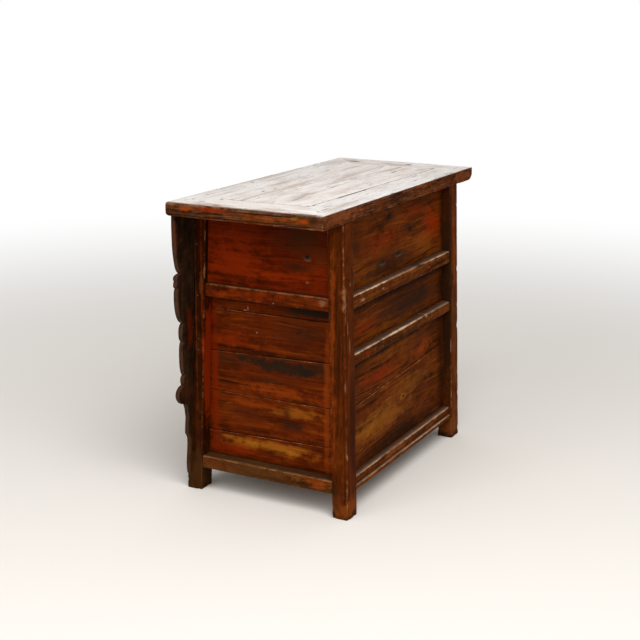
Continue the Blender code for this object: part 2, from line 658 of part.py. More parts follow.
def drawer(side, sx):
    """A drawer: front, two sides, back and bottom, the sides lapped into the front."""
    low, high, inner, outer, back = drawer_sizes()
    names = {part: f"drawer_{side}_{part}" for part in
             ("front", "inner_side", "outer_side", "back", "bottom")}

    def upright(b, z0, z1, x0, x1=None):
        """A rectangle in the splayed front plane; x1 None follows the leg."""
        ends = [(case_x(z) - LEG_WIDTH - DRAWER_CLEARANCE) if x1 is None else x1 for z in (z0, z1)]
        corners = ((x0, z0), (ends[0], z0), (ends[1], z1), (x0, z1))
        return [Vector((sx * x, b - case_y(z), z)) for x, z in corners]

    face = RAIL_SETBACK
    front_back = face + DRAWER_FRONT_THICKNESS
    rings = [upright(face, low, high, inner), upright(front_back, low, high, inner)]
    add_object(names["front"], loft(rings)[0], "frame")

    side_top = high - DRAWER_SIDE_DROP
    lap = front_back - DRAWER_SIDE_LAP
    thickness = DRAWER_SIDE_THICKNESS
    spans = {"inner_side": (inner, inner + thickness), "outer_side": (outer - thickness, outer)}
    for part, (x0, x1) in spans.items():
        def plank(grow):
            start = upright(lap - grow, low - grow, side_top + grow, x0 - grow, x1 + grow)
            end = [Vector((p.x, back + grow, p.z)) for p in start]
            return [start, end]
        add_object(names[part], loft(plank(0.0))[0], "inside")
        pocket([names["front"]], plank(FIT))

    groove = DRAWER_GROOVE
    back_face = back - DRAWER_BACK_THICKNESS

    def back_board(grow):
        x0, x1 = sorted((sx * (inner + thickness - groove - grow), sx * (outer - thickness + groove + grow)))
        return box_rings(x0, x1, back_face - grow, back - FIT + grow, low - grow, side_top + grow)
    add_object(names["back"], loft(back_board(0.0))[0], "inside")
    pocket([names["inner_side"], names["outer_side"]], back_board(FIT))

    bottom_low = low + DRAWER_BOTTOM_RISE
    bottom_high = bottom_low + DRAWER_BOTTOM_THICKNESS

    def bottom_board(grow):
        start = upright(front_back - groove - grow, bottom_low - grow, bottom_high + grow,
                        inner + thickness - groove - grow, outer - thickness + groove + grow)
        end = [Vector((p.x, back_face + groove + grow, p.z)) for p in start]
        return [start, end]
    add_object(names["bottom"], loft(bottom_board(0.0))[0], "inside")
    pocket([names["front"], names["inner_side"], names["outer_side"], names["back"]], bottom_board(FIT))
    return list(names.values())


def door_levels():
    return BOTTOM_RAIL_TOP + DOOR_END_GAP, MID_RAIL_UNDERSIDE - DOOR_END_GAP


def door_axis_point(sx, z):
    """A point on a door's pivot axis, in the middle of its thickness."""
    radius = DOOR_THICKNESS / 2
    return inside(sx, LEG_WIDTH + DOOR_SIDE_GAP + radius, -1, DOOR_SETBACK + radius, z)


def door(side, sx):
    """A board door with a sunk border line, a round pivot edge and a pin at each end."""
    low, high = door_levels()
    radius = DOOR_THICKNESS / 2

    def ring(z):
        axis = door_axis_point(sx, z)
        points = [Vector((sx * DOOR_MEETING_GAP, axis.y + radius, z)),
                  Vector((sx * DOOR_MEETING_GAP, axis.y - radius, z))]
        for i in range(ARC_STEPS + 1):
            angle = math.pi * (i / ARC_STEPS - 0.5)
            points.append(axis + Vector((sx * radius * math.cos(angle), radius * math.sin(angle), 0.0)))
        return points
    mesh, loops = loft([ring(low), ring(high)])
    outer_corners = {loop[i] for loop in loops for i in (1, 2)}
    face = next(f for f in mesh.faces if set(f.verts) == outer_corners)
    bmesh.ops.inset_region(mesh, faces=[face], thickness=DOOR_BORDER)
    bmesh.ops.inset_region(mesh, faces=[face], thickness=DOOR_FIELD_BEVEL, depth=-DOOR_FIELD_DEPTH)
    name = f"door_{side}_board"
    obj = add_object(name, mesh, "panel")
    rails = {low: ("front_bottom_rail", -1), high: ("front_mid_rail", 1)}
    for level, (rail, up) in rails.items():
        tip = level + up * (DOOR_END_GAP + PIN_LENGTH)
        root = level - up * PIN_LENGTH
        combine(obj, [loft(pin_rings(sx, root, tip, PIN_RADIUS))[0]], "UNION")
        pocket([rail], pin_rings(sx, root, tip + up * PIN_CLEARANCE, PIN_RADIUS + PIN_CLEARANCE))
    return name


def pin_rings(sx, start, end, radius):
    """A round pin on a door's axis between two heights."""
    rings = []
    for z in sorted((start, end)):
        axis = door_axis_point(sx, z)
        rings.append([axis + Vector((radius * math.cos(t), radius * math.sin(t), 0.0))
                      for t in (2 * math.pi * i / (2 * ARC_STEPS) for i in range(2 * ARC_STEPS))])
    return rings


def pull_frame(x, z, setback):
    """Axes on the splayed front: X across, Y up the face, Z out of it, from the face at z."""
    up = Vector((0.0, LEG_SPLAY_DEEP, LEG_HEIGHT)).normalized()
    across = Vector((1.0, 0.0, 0.0))
    out = across.cross(up)
    frame = Matrix((across, up, out)).transposed().to_4x4()
    frame.translation = Vector((x, setback - case_y(z), z))
    return frame


def tube(path, radius, sides):
    """A round bar along a path in the plane Z = const, square at its ends."""
    rings = []
    for i, point in enumerate(path):
        ahead = path[min(i + 1, len(path) - 1)] - path[max(i - 1, 0)]
        across = Vector((0.0, 0.0, 1.0)).cross(ahead).normalized()
        rings.append([point + radius * (across * math.cos(t) + Vector((0.0, 0.0, 1.0)) * math.sin(t))
                      for t in (2 * math.pi * k / sides for k in range(sides))])
    return rings


def bail_path(height):
    """From one eye down round the bail to the other eye."""
    end = BAIL_SPREAD + EYE_LENGTH / 2
    leg = BAIL_SPREAD - EYE_LENGTH / 2 - BAIL_SHOULDER
    path = [Vector((-end, 0.0, height)), Vector((-leg - BAIL_RADIUS, 0.0, height))]
    steps = 2 * ARC_STEPS
    for i in range(steps + 1):
        angle = math.pi * i / steps
        drop = BAIL_SHOULDER + (BAIL_DROP - BAIL_SHOULDER) * math.sin(angle)
        path.append(Vector((-leg * math.cos(angle), -drop, height)))
    return path + [Vector((-p.x, p.y, p.z)) for p in reversed(path[:2])]


def pull(owner, frame):
    """A lobed plate with two eyes, and the bail that swings in them."""
    low, high = FIT, FIT + PLATE_THICKNESS
    axis_height = high + EYE_HEIGHT

    def outline(z):
        points = []
        for i in range(PLATE_POINTS):
            angle = 2 * math.pi * i / PLATE_POINTS
            radius = PLATE_RADIUS - PLATE_LOBE_DEPTH * (1 - math.cos(PLATE_LOBES * angle)) / 2
            points.append(Vector((radius * math.cos(angle), radius * math.sin(angle) - EYE_RISE, z)))
        return points
    plate = add_object(f"{owner}_pull_plate", loft([outline(low), outline(high)])[0], "metal")
    eyes, holes = [], []
    for sx in (-1, 1):
        x0, x1 = sx * BAIL_SPREAD - EYE_LENGTH / 2, sx * BAIL_SPREAD + EYE_LENGTH / 2
        eyes.append(loft(box_rings(x0, x1, -EYE_RADIUS, EYE_RADIUS, low + PLATE_THICKNESS / 2,
                                   axis_height + EYE_RADIUS))[0])
        holes.append(loft(tube([Vector((x, 0.0, axis_height)) for x in (x0 - FIT, x1 + FIT)],
                               BAIL_RADIUS + FIT, BAIL_SIDES))[0])
    for mesh in eyes:
        bmesh.ops.bevel(mesh, geom=[e for e in mesh.edges if all(v.co.z > axis_height for v in e.verts)
                                    and abs(e.verts[0].co.x - e.verts[1].co.x) > FIT],
                        offset=EYE_ROUNDING, segments=3, profile=0.5, affect="EDGES")
    combine(plate, eyes, "UNION")
    combine(plate, holes, "DIFFERENCE")
    bail = add_object(f"{owner}_pull_bail", loft(tube(bail_path(axis_height), BAIL_RADIUS, BAIL_SIDES))[0],
                      "metal")
    for obj in (plate, bail):
        obj.data.transform(frame)
    return plate.name, bail.name, frame @ Vector((0.0, 0.0, axis_height))


def hang_on(pivot_name, place, names, parent=None):
    """Give moving pieces an empty on their joint's axis as parent."""
    pivot = bpy.data.objects.new(pivot_name, None)
    pivot.location = place - (parent.location if parent else Vector())
    pivot.parent = parent
    bpy.context.scene.collection.objects.link(pivot)
    for name in names:
        obj = bpy.data.objects[name]
        obj.data.transform(Matrix.Translation(-place))
        obj.parent = pivot
    return pivot


def moving_pieces():
    """Drawers and doors with their pulls, each hung on its own axis."""
    groups = []
    low, high, inner, outer, _ = drawer_sizes()
    door_foot = door_levels()[0]
    for side, sx in SIDES.items():
        pieces = drawer(side, sx)
        middle = (low + high) / 2
        place = (sx * (inner + outer) / 2, middle + EYE_RISE, RAIL_SETBACK)
        groups.append((f"drawer_{side}", pieces, place, Vector((place[0], -case_y(middle), middle))))
        name = door(side, sx)
        place = (sx * DOOR_PULL_INSET, DOOR_PULL_HEIGHT, DOOR_SETBACK)
        groups.append((f"door_{side}", [name], place, door_axis_point(sx, door_foot)))
    return groups


def hang_moving_pieces(groups):
    for owner, pieces, place, axis in groups:
        plate, bail, bail_axis = pull(owner, pull_frame(*place))
        body = hang_on(f"{owner}_axis", axis, pieces + [plate])
        hang_on(f"{owner}_bail_axis", bail_axis, [bail], body)


def main():
    for obj in list(bpy.data.objects):
        bpy.data.objects.remove(obj)
    legs()
    top_frame()
    top_panel()
    side_frames()
    back_frame()
    front_frame()
    wings()
    floor_board()
    shelf()
    drawer_runners()
    groups = moving_pieces()
    cut_pockets()
    hang_moving_pieces(groups)


main()
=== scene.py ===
import math

import bmesh
import bpy
from mathutils import Matrix, Vector, noise


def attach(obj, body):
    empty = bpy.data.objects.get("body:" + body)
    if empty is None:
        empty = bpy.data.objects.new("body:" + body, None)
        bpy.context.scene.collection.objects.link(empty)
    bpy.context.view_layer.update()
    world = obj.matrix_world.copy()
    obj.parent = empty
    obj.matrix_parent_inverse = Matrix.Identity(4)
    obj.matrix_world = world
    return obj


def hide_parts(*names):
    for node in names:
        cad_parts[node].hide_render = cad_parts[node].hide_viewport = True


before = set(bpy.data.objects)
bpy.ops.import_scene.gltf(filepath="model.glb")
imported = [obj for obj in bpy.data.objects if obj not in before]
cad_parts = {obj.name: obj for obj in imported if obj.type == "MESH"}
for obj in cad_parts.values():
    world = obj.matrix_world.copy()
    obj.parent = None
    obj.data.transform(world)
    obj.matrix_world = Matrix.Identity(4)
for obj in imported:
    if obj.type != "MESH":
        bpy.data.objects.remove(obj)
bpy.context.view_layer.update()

# Sizes of the solids that the visible pieces follow, in metres.
HEIGHT = 0.840
HALF_LENGTH = 0.499
HALF_DEPTH = 0.233
LEG_HEIGHT = 0.8014
STILE_WIDTH = 0.102
END_WIDTH = 0.108
TOP_PANEL_THICKNESS = 0.014
CASE_HALF_WIDTH = (0.395, 0.3855)
CASE_HALF_DEPTH = (0.257, 0.231)
LEG_WIDTH = 0.057
LEG_DEPTH = 0.049
RAIL_SETBACK = 0.004
SIDE_RAIL_INNER = 0.053
CROSS_RAIL_INNER = 0.045
TOP_RAIL_INNER = 0.034
BOTTOM_RAIL = (0.0655, 0.103)
SHELF_RAIL = (0.4135, 0.445)
MID_RAIL = (0.5655, 0.603)
TOP_RAIL = (0.7731, 0.8011)
UPPER_SIDE_PANEL = 0.013
LOWER_SIDE_PANEL = 0.038
BACK_PANEL = 0.028
PANEL_THICKNESS = 0.012
SLIPPED_BOARD_TOP = 0.5275
DIVIDER_HALF = 0.018
END_UNDERCUT = {1: (0.010, 0.003), -1: (0.028, 0.016)}
END_ROUND, FRONT_ROUND, BACK_ROUND = 0.003, 0.008, 0.0025
FOOT_WEAR, FOOT_CHIP = 0.055, 0.011
BACK_LIP_HEIGHT, BACK_LIP_STEP = 0.0135, 0.0045
GAP = 0.0003
SEAM = 0.0009
SIDES = {"right": 1, "left": -1}
ENDS = {"front": -1, "back": 1}

# Seams between boards, at their two ends, and how far boards stand proud, from the lowest board up.
SIDE_SEAMS = ((0.172, 0.182), (0.2916, 0.2916), (0.406, 0.417))
SIDE_PROUD = (0.0, 0.0004, 0.0020, 0.0006)
BACK_SEAMS = ((0.170, 0.149), (0.312, 0.284))
BACK_PROUD = (0.0, 0.0028, 0.0)
# How far in the strip behind the slipped board lies, at its two ends.
GAP_STRIP = (0.0386, 0.0455)
# The back member's inner edge at its two ends, its gap to the panel, and the seams between the planks.
TOP_BACK_SEAM = (0.146, 0.134)
TOP_BACK_GAP = 0.0012
TOP_PLANK_SEAMS = (-0.048, 0.041)
# Nails in the front legs: heights, place along Y, how deep they sink, and their outline as (out, radius).
NAIL_LEVELS = (0.709, 0.566, 0.443, 0.412)
NAIL_Y, NAIL_SINK = -0.2115, 0.0012
NAIL_PROFILE = ((-0.001, 0.0021), (0.0006, 0.0021), (0.0011, 0.0018), (0.0014, 0.0011), (0.0015, 0.0004))

# Outline of a wing: crests and hollows in turn as (height, reach beyond the leg), then its taper.
WING_TOP = (LEG_HEIGHT - GAP, 0.095)
WING_FIRST_HOLLOW = (0.638, 0.060)
WING_LOBES = (
    ((0.628, 0.084), (0.6185, 0.0795)), ((0.6085, 0.083), (0.598, 0.0745)), ((0.584, 0.080), (0.496, 0.0435)),
    ((0.473, 0.056), (0.4437, 0.046)), ((0.417, 0.052), (0.346, 0.0365)), ((0.333, 0.0445), (0.3176, 0.039)),
    ((0.294, 0.067), (0.2605, 0.0295)))
WING_TAPER = ((0.241, 0.0215), (0.217, 0.0165), (0.170, 0.018), (0.153, 0.007), (0.134, 0.0045), (0.075, 0.008),
              (0.053, 0.005), (0.044, 0.0008))
WING_FACES = (0.001, 0.016)
WING_TONGUE = 0.004
WING_NICK = 0.0012


def case_x(z):
    """Half the width over the legs at height z."""
    foot, top = CASE_HALF_WIDTH
    return foot + (top - foot) * z / LEG_HEIGHT


def case_y(z):
    """Half the depth over the legs at height z."""
    foot, top = CASE_HALF_DEPTH
    return foot + (top - foot) * z / LEG_HEIGHT


def inside(sx, a, sy, b, z):
    """The point a in from the side's outer face and b in from the front's or back's."""
    return Vector((sx * (case_x(z) - a), sy * (case_y(z) - b), z))


def circle(count):
    """Angles of equally many steps round a circle."""
    return [2 * math.pi * i / count for i in range(count)]


# Worn wood in mesh code. The scales are of the noises that rub, nick and bow a bar's surface.
RUB_SCALE, NICK_SCALE, WAVE_SCALE = 22, 55, 9
NICK_LEVEL, NICK_GAIN = 0.32, 2.4


class Shape:
    """Points, faces and edge wear of a piece in the making."""

    def __init__(self):
        self.points = []
        self.faces = []
        self.wear = []

    def add_rings(self, rings, wears):
        """A closed skin through rings of equally many points."""
        base, size = len(self.points), len(rings[0])
        for ring, wear in zip(rings, wears):
            self.points.extend(ring)
            self.wear.extend(wear if isinstance(wear, list) else [wear] * size)
        for n in range(len(rings) - 1):
            low = base + n * size
            for i in range(size):
                j = (i + 1) % size
                self.faces.append((low + i, low + j, low + size + j, low + size + i))
        last = base + (len(rings) - 1) * size
        self.faces.append(tuple(range(base + size - 1, base - 1, -1)))
        self.faces.append(tuple(range(last, last + size)))


def perimeter(width, height, radii, step, arc):
    """Round a rectangle: (u, v, inward u, inward v, wear), u and v in metres from one corner."""
    spots = ((0, 0), (width, 0), (width, height), (0, height))
    inward = ((0, 1), (-1, 0), (0, -1), (1, 0))
    fade, rubbed = 0.011, 0.78
    points = []
    for k, (u, v) in enumerate(spots):
        radius = radii[k]
        cu = u + radius if u == 0 else u - radius
        cv = v + radius if v == 0 else v - radius
        for i in range(arc + 1):
            angle = math.radians(180 + 90 * (k + i / arc))
            du, dv = math.cos(angle), math.sin(angle)
            wear = rubbed + (1 - rubbed) * math.sin(math.pi * i / arc)
            points.append((cu + radius * du, cv + radius * dv, -du, -dv, wear))
        length = (width if k % 2 == 0 else height) - radius - radii[(k + 1) % 4]
        count = max(2, round(length / step))
        start = points[-1]
        along = ((1, 0), (0, 1), (-1, 0), (0, -1))[k]
        for i in range(1, count):
            run = length * i / count
            wear = rubbed * max(0.0, 1 - min(run, length - run) / fade)
            points.append((start[0] + along[0] * run, start[1] + along[1] * run, *inward[k], wear))
    return points


def add_bar(shape, first, last, radius=0.004, step=0.007, wave=0.0003, chip=0.0016, seed=0.0, end_round=0.0007,
            arc=3, relief=None):
    """A worn bar from one four-cornered section to another.

    radius may differ by corner. relief gives (depth, wear) sunk into the face at (u, v, distance along).
    """
    radii = radius if isinstance(radius, (tuple, list)) else (radius,) * 4
    width = (first[1] - first[0]).length
    height = (first[3] - first[0]).length
    ring = perimeter(width, height, radii, step, arc)
    length = (sum(last, Vector()) - sum(first, Vector())).length / 4
    count = max(3, round(length / step))
    stations = [0.0] + [end_round / length + (1 - 2 * end_round / length) * i / count
                        for i in range(count + 1)] + [1.0]
    shift = Vector((seed * 7.13, seed * 3.71, seed * 5.37))
    rings, wears = [], []
    for n, t in enumerate(stations):
        corner = [a.lerp(b, t) for a, b in zip(first, last)]
        across = corner[1] - corner[0]
        up = corner[3] - corner[0]
        twist = corner[0] - corner[1] + corner[2] - corner[3]
        ends = end_round if n in (0, len(stations) - 1) else 0.0
        points, marks = [], []
        for u, v, iu, iv, wear in ring:
            fu, fv = u / width, v / height
            point = corner[0] + across * fu + up * fv + twist * (fu * fv)
            inward = across.normalized() * iu + up.normalized() * iv
            place = point + shift
            rub = 0.3 + 0.7 * max(0.0, noise.noise(place * RUB_SCALE))
            nick = max(0.0, noise.noise(place * NICK_SCALE + shift) - NICK_LEVEL) * NICK_GAIN
            bow = 0.5 + 0.5 * noise.noise(place * WAVE_SCALE)
            sink = wave * bow + chip * wear * (0.6 * rub + nick) + ends
            if relief:
                depth, more = relief(u, v, t * length)
                sink += depth
                wear = max(wear, more)
            points.append(point + inward * sink)
            marks.append(min(1.0, wear * (0.86 + 0.5 * nick)))
        rings.append(points)
        wears.append(marks)
    shape.add_rings(rings, wears)


def finish_piece(shape, name, material, body, nodes, sharp=40):
    """Make the object of a shape, with its material, body and the solids it stands for."""
    mesh = bpy.data.meshes.new(name)
    mesh.from_pydata(shape.points, [], shape.faces)
    attribute = mesh.attributes.new("wear", "FLOAT", "POINT")
    attribute.data.foreach_set("value", shape.wear)
    tidy = bmesh.new()
    tidy.from_mesh(mesh)
    bmesh.ops.recalc_face_normals(tidy, faces=tidy.faces)
    tidy.to_mesh(mesh)
    tidy.free()
    mesh.shade_smooth()
    mesh.set_sharp_from_angle(angle=math.radians(sharp))
    mesh.materials.append(material)
    piece = bpy.data.objects.new(name, mesh)
    bpy.context.scene.collection.objects.link(piece)
    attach(piece, body)
    if nodes:
        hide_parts(*nodes)


def worn_bar(name, material, body, slot, sections, **bar):
    """A piece of one worn bar that stands for the solid of its name."""
    shape = Shape()
    add_bar(shape, *sections, **bar)
    finish_piece(shape, f"worn_{name}", material, body, [name])


# Materials.

class Graph:
    """A material's or world's node tree, with short names for the nodes used here."""

    def __init__(self, owner):
        self.owner = owner
        owner.use_nodes = True
        self.tree = owner.node_tree
        self.shader = self.tree.nodes.get("Principled BSDF")

    def put(self, socket, value):
        if isinstance(value, bpy.types.NodeSocket):
            self.tree.links.new(value, socket)
        else:
            socket.default_value = value

    def shade(self, inputs):
        for key, value in inputs.items():
            self.put(self.shader.inputs[key], value)

    def node(self, kind, *values, **settings):
        made = self.tree.nodes.new(kind)
        for key, value in settings.items():
            setattr(made, key, value)
        for socket, value in zip(made.inputs, values):
            if value is not None:
                self.put(socket, value)
        return made

    def math(self, operation, *values):
        return self.node("ShaderNodeMath", *values, operation=operation).outputs[0]

    def times(self, a, b):
        return self.math("MULTIPLY", a, b)

    def vector(self, operation, *values):
        return self.node("ShaderNodeVectorMath", *values, operation=operation).outputs[0]

    def length(self, a):
        return self.node("ShaderNodeVectorMath", a, operation="LENGTH").outputs["Value"]

    def place(self):
        return self.node("ShaderNodeTexCoord").outputs["Object"]

    def noise(self, vector, scale, detail=3.0, roughness=0.55, distortion=0.0):
        made = self.node("ShaderNodeTexNoise")
        for key, value in (("Vector", vector), ("Scale", scale), ("Detail", detail),
                           ("Roughness", roughness), ("Distortion", distortion)):
            self.put(made.inputs[key], value)
        return made

    def span(self, value, low, high, to_low=0.0, to_high=1.0):
        """Smooth step from one range to another."""
        return self.node("ShaderNodeMapRange", value, low, high, to_low, to_high,
                         interpolation_type="SMOOTHSTEP").outputs[0]

    def mix(self, share, a, b):
        made = self.node("ShaderNodeMix", data_type="RGBA")
        for socket, value in ((made.inputs[0], share), (made.inputs[6], a), (made.inputs[7], b)):
            self.put(socket, (*value, 1.0) if isinstance(value, tuple) and len(value) == 3 else value)
        return made.outputs[2]

    def laid(self, colour, *layers):
        """Tints over a colour: (value, low, high, strength, tint), in full where the value is at high."""
        for value, low, high, strength, tint in layers:
            colour = self.mix(self.span(value, low, high, 0.0, strength), colour, tint)
        return colour

    def stirred(self, base, value, amount):
        """A value moved by how far a noise is from its middle."""
        return self.math("MULTIPLY_ADD", self.math("SUBTRACT", value, 0.5), amount, base)

    def ramp(self, value, stops):
        made = self.node("ShaderNodeValToRGB", value)
        while len(made.color_ramp.elements) < len(stops):
            made.color_ramp.elements.new(0.5)
        for element, (position, colour) in zip(made.color_ramp.elements, stops):
            element.position = position
            element.color = (*colour, 1.0)
        return made.outputs[0]

    def bump(self, height, strength, distance):
        made = self.node("ShaderNodeBump")
        for key, value in (("Strength", strength), ("Distance", distance), ("Height", height)):
            self.put(made.inputs[key], value)
        self.put(self.shader.inputs["Normal"], made.outputs[0])


# Marks wander by MARK_SHAKE, those thinner than THIN_MARK by a share of it.
MARK_SHAKE = 0.007
THIN_MARK, THIN_MARK_SHARE = 0.005, 0.25
WOOD_RELIEF = 0.0008
EDGE_GLOSS = 0.012
# How much a face looks up where the wood starts to count as level, and where it does in full.
LEVEL = (0.35, 0.92)
GRAIN_ORDER = {"X": (0, 1, 2), "Y": (1, 0, 2), "Z": (2, 0, 1)}


def scaled(colour, share):
    return tuple(share * c for c in colour)


def mark(x, y, z, rx, ry, rz, colour, strength=0.8, soft=0.7, ragged=0.9):
    """A patch of colour round a point of the wood, ragged at its edge. Lengths are in millimetres."""
    centre, radii = (tuple(v / 1000 for v in three) for three in ((x, y, z), (rx, ry, rz)))
    return centre, radii, colour, strength, soft, ragged


def wood(name, grain, seed, tones, edge, marks=(), rough=(0.36, 0.56), gloss=EDGE_GLOSS, patches=0.5,
         worn=(0.74, 1.08, 0.8), line=None, ledge=None, arris=None, bleach_and_glare=None, bump=0.35, figure=30.0,
         mottle=0.6, streaks=1.0):
    """Lacquered or bare wood with grain, pores, patches, rubbed edges and placed marks.

    tones run from dark to bright. worn is where the edge colour starts and is full, and its strength. line
    is the colour and strength of a painted line of shade beside the edges, the look of a bead's groove. ledge
    is the colour laid on what faces up, with its colour at the edge: dust and painted sheen on the back rails,
    a darker tone on the side rails. arris is a pale line along upper edges, worn bare wood and painted
    highlight.
    bleach_and_glare is the tones of the pale upper face, worn and sun-bleached and paler still as painted
    glare, mottle how flaked the lacquer is and streaks how strongly the grain shows through it.
    """
    g = Graph(bpy.data.materials.new(name))

    def cloud(vector, along, across, *character):
        """Noise drawn out along the grain."""
        return g.noise(g.vector("MULTIPLY", vector, (along, across, across)), 1.0, *character).outputs["Fac"]

    place = g.place()
    parts = g.node("ShaderNodeSeparateXYZ", place).outputs
    turned = g.node("ShaderNodeCombineXYZ", *(parts[axis] for axis in GRAIN_ORDER[grain])).outputs[0]
    turned = g.vector("ADD", turned, (seed * 3.17, seed * 1.91, seed * 2.43))
    wander = g.noise(g.vector("MULTIPLY", turned, (2.2, 5.0, 5.0)), 1.0, 2.0).outputs["Color"]
    wander = g.vector("MULTIPLY", g.vector("SUBTRACT", wander, (0.5, 0.5, 0.5)), (0.0, 0.05, 0.05))
    bent = g.vector("ADD", turned, wander)
    rings = cloud(bent, 1.5, figure, 5.0, 0.62, 0.35)
    streak = cloud(bent, 3.0, 110.0, 3.0, 0.6)
    fibre = cloud(bent, 11.0, 330.0, 3.0, 0.6)
    pores = cloud(bent, 26.0, 620.0, 1.0)
    patch = cloud(turned, 4.0, 8.0, 4.0, 0.6)
    smoke = cloud(turned, 13.0, 30.0, 5.0, 0.65)
    flake = cloud(turned, 34.0, 52.0, 6.0, 0.72)
    speck = g.noise(place, 300.0, 2.0, 0.6).outputs["Fac"]
    facing = g.node("ShaderNodeSeparateXYZ", g.node("ShaderNodeNewGeometry").outputs["Normal"]).outputs[2]
    upward = g.span(facing, *LEVEL)

    dark, mid, bright = tones
    colour = g.laid(
        g.ramp(rings, ((0.30, dark), (0.44, mid), (0.57, mid), (0.72, bright))),
        (patch, 0.44, 0.68, patches, scaled(dark, 0.6)), (patch, 0.46, 0.28, 0.6, bright),
        (streak, 0.52, 0.70, 0.5 * streaks, scaled(dark, 0.8)), (streak, 0.46, 0.30, 0.45 * streaks, bright),
        (smoke, 0.52, 0.75, 0.5, scaled(dark, 0.6)),
        (flake, 0.51, 0.66, mottle, scaled(dark, 0.75)), (flake, 0.49, 0.36, 0.9 * mottle, bright))
    shade = scaled(dark, 0.5)
    # Faces that look up are painted pale: worn and sun-bleached lacquer, paler still as painted glare.
    if bleach_and_glare:
        pale_dark, pale_mid, pale_bright = bleach_and_glare
        shade = scaled(pale_dark, 0.6)
        split = g.span(cloud(bent, 9.0, 260.0, 2.0, 0.5), 0.60, 0.69)
        split = g.times(split, g.span(smoke, 0.44, 0.58, 0.0, 0.85))
        pitted = g.times(g.span(speck, 0.66, 0.74), g.span(flake, 0.48, 0.60, 0.0, 0.7))
        pale = g.laid(
            g.ramp(rings, ((0.28, pale_dark), (0.42, pale_mid), (0.58, pale_mid), (0.72, pale_bright))),
            (patch, 0.48, 0.72, 0.45, pale_dark), (streak, 0.54, 0.74, 0.4, scaled(pale_dark, 0.85)),
            (streak, 0.45, 0.30, 0.5, pale_bright))
        pale = g.mix(split, pale, scaled(pale_dark, 0.28))
        pale = g.laid(pale, (flake, 0.56, 0.74, 0.45, scaled(pale_dark, 0.9)))
        pale = g.mix(pitted, pale, scaled(pale_dark, 0.3))
        colour = g.mix(upward, colour, pale)
    colour = g.laid(colour, (fibre, 0.5, 0.72, 0.4, shade), (pores, 0.62, 0.72, 0.45, scaled(dark, 0.5)))
    if not bleach_and_glare:
        colour = g.laid(colour, (speck, 0.60, 0.72, 0.6 * mottle, scaled(dark, 0.5)))

    wobble = g.math("SUBTRACT", smoke, 0.5)
    rim = g.node("ShaderNodeAttribute", attribute_name="wear", attribute_type="GEOMETRY").outputs["Fac"]
    # Faces that look up take a ledge colour: dust and painted sheen on the back rails, a darker tone on the
    # side rails.
    if ledge:
        deep, strength, outer = ledge
        ledge_share = g.times(g.times(upward, g.span(smoke, 0.28, 0.62, 0.45, 1.0)), strength)
        colour = g.mix(ledge_share, colour, g.mix(g.span(rim, 0.05, 0.8), deep, outer))
    # A painted line of shade beside the edges, the look of a bead's groove.
    if line:
        beside = g.times(g.span(rim, 0.28, 0.42), g.span(rim, 0.66, 0.52))
        colour = g.mix(g.times(beside, line[1]), colour, line[0])
    broken = g.stirred(g.stirred(rim, flake, -1.1), fibre, 0.35)
    colour = g.laid(colour, (broken, *worn, edge))
    # A pale line along the edges that face up: worn bare wood and painted highlight.
    if arris:
        tint, strength = arris
        bare = g.span(g.math("MULTIPLY_ADD", wobble, 0.6, rim), 0.70, 0.86)
        for share in (g.span(facing, 0.05, 0.35, 0.0, strength), g.span(flake, 0.62, 0.47, 0.1, 1.0),
                      g.span(patch, 0.40, 0.56, 0.5, 1.0)):
            bare = g.times(bare, share)
        colour = g.mix(bare, colour, tint)

    shake = g.noise(place, 45.0, 3.0, 0.6).outputs["Color"]
    shake = g.vector("MULTIPLY_ADD", shake, (MARK_SHAKE,) * 3, (-MARK_SHAKE / 2,) * 3)
    shaken = g.vector("ADD", place, shake)
    steadier = g.vector("MULTIPLY_ADD", shake, (THIN_MARK_SHARE,) * 3, place)
    frayed = g.stirred(g.stirred(wobble, streak, 0.9), flake, 2.2)
    for centre, radii, tint, strength, soft, ragged in marks:
        share = tuple(1 / r for r in radii)
        at = steadier if min(radii) < THIN_MARK else shaken
        size = g.length(g.vector("MULTIPLY_ADD", at, share, tuple(-c * s for c, s in zip(centre, share))))
        size = g.math("MULTIPLY_ADD", frayed, ragged, size)
        colour = g.laid(colour, (size, 1.0, 1.0 - soft, strength, tint))

    g.bump(g.math("MULTIPLY_ADD", fibre, 0.5, g.times(rings, 0.5)), bump, WOOD_RELIEF)
    if bleach_and_glare:
        clean = g.span(g.node("ShaderNodeRGBToBW", colour).outputs[0], 0.03, 0.4, 0.1, 1.0)
        gloss = g.times(clean, g.span(facing, *LEVEL, EDGE_GLOSS, gloss))
    g.shade({"Base Color": colour, "Roughness": g.span(smoke, 0.3, 0.7, *rough), "Specular IOR Level": gloss})
    return g.owner


def brass(name):
    """Aged brass: brown in the hollows, brighter where it is handled."""
    g = Graph(bpy.data.materials.new(name))
    place = g.place()
    haze = g.noise(place, 60.0, 5.0, 0.6).outputs["Fac"]
    fine = g.noise(place, 420.0, 3.0, 0.6).outputs["Fac"]
    colour = g.ramp(haze, ((0.35, BRASS[0]), (0.55, BRASS[1]), (0.72, BRASS[2])))
    g.bump(fine, 0.25, 0.0004)
    g.shade({"Base Color": g.laid(colour, (fine, 0.55, 0.72, 0.5, BRASS_SPECK)), "Metallic": 1.0,
             "Roughness": g.span(haze, 0.3, 0.7, 0.5, 0.28)})
    return g.owner


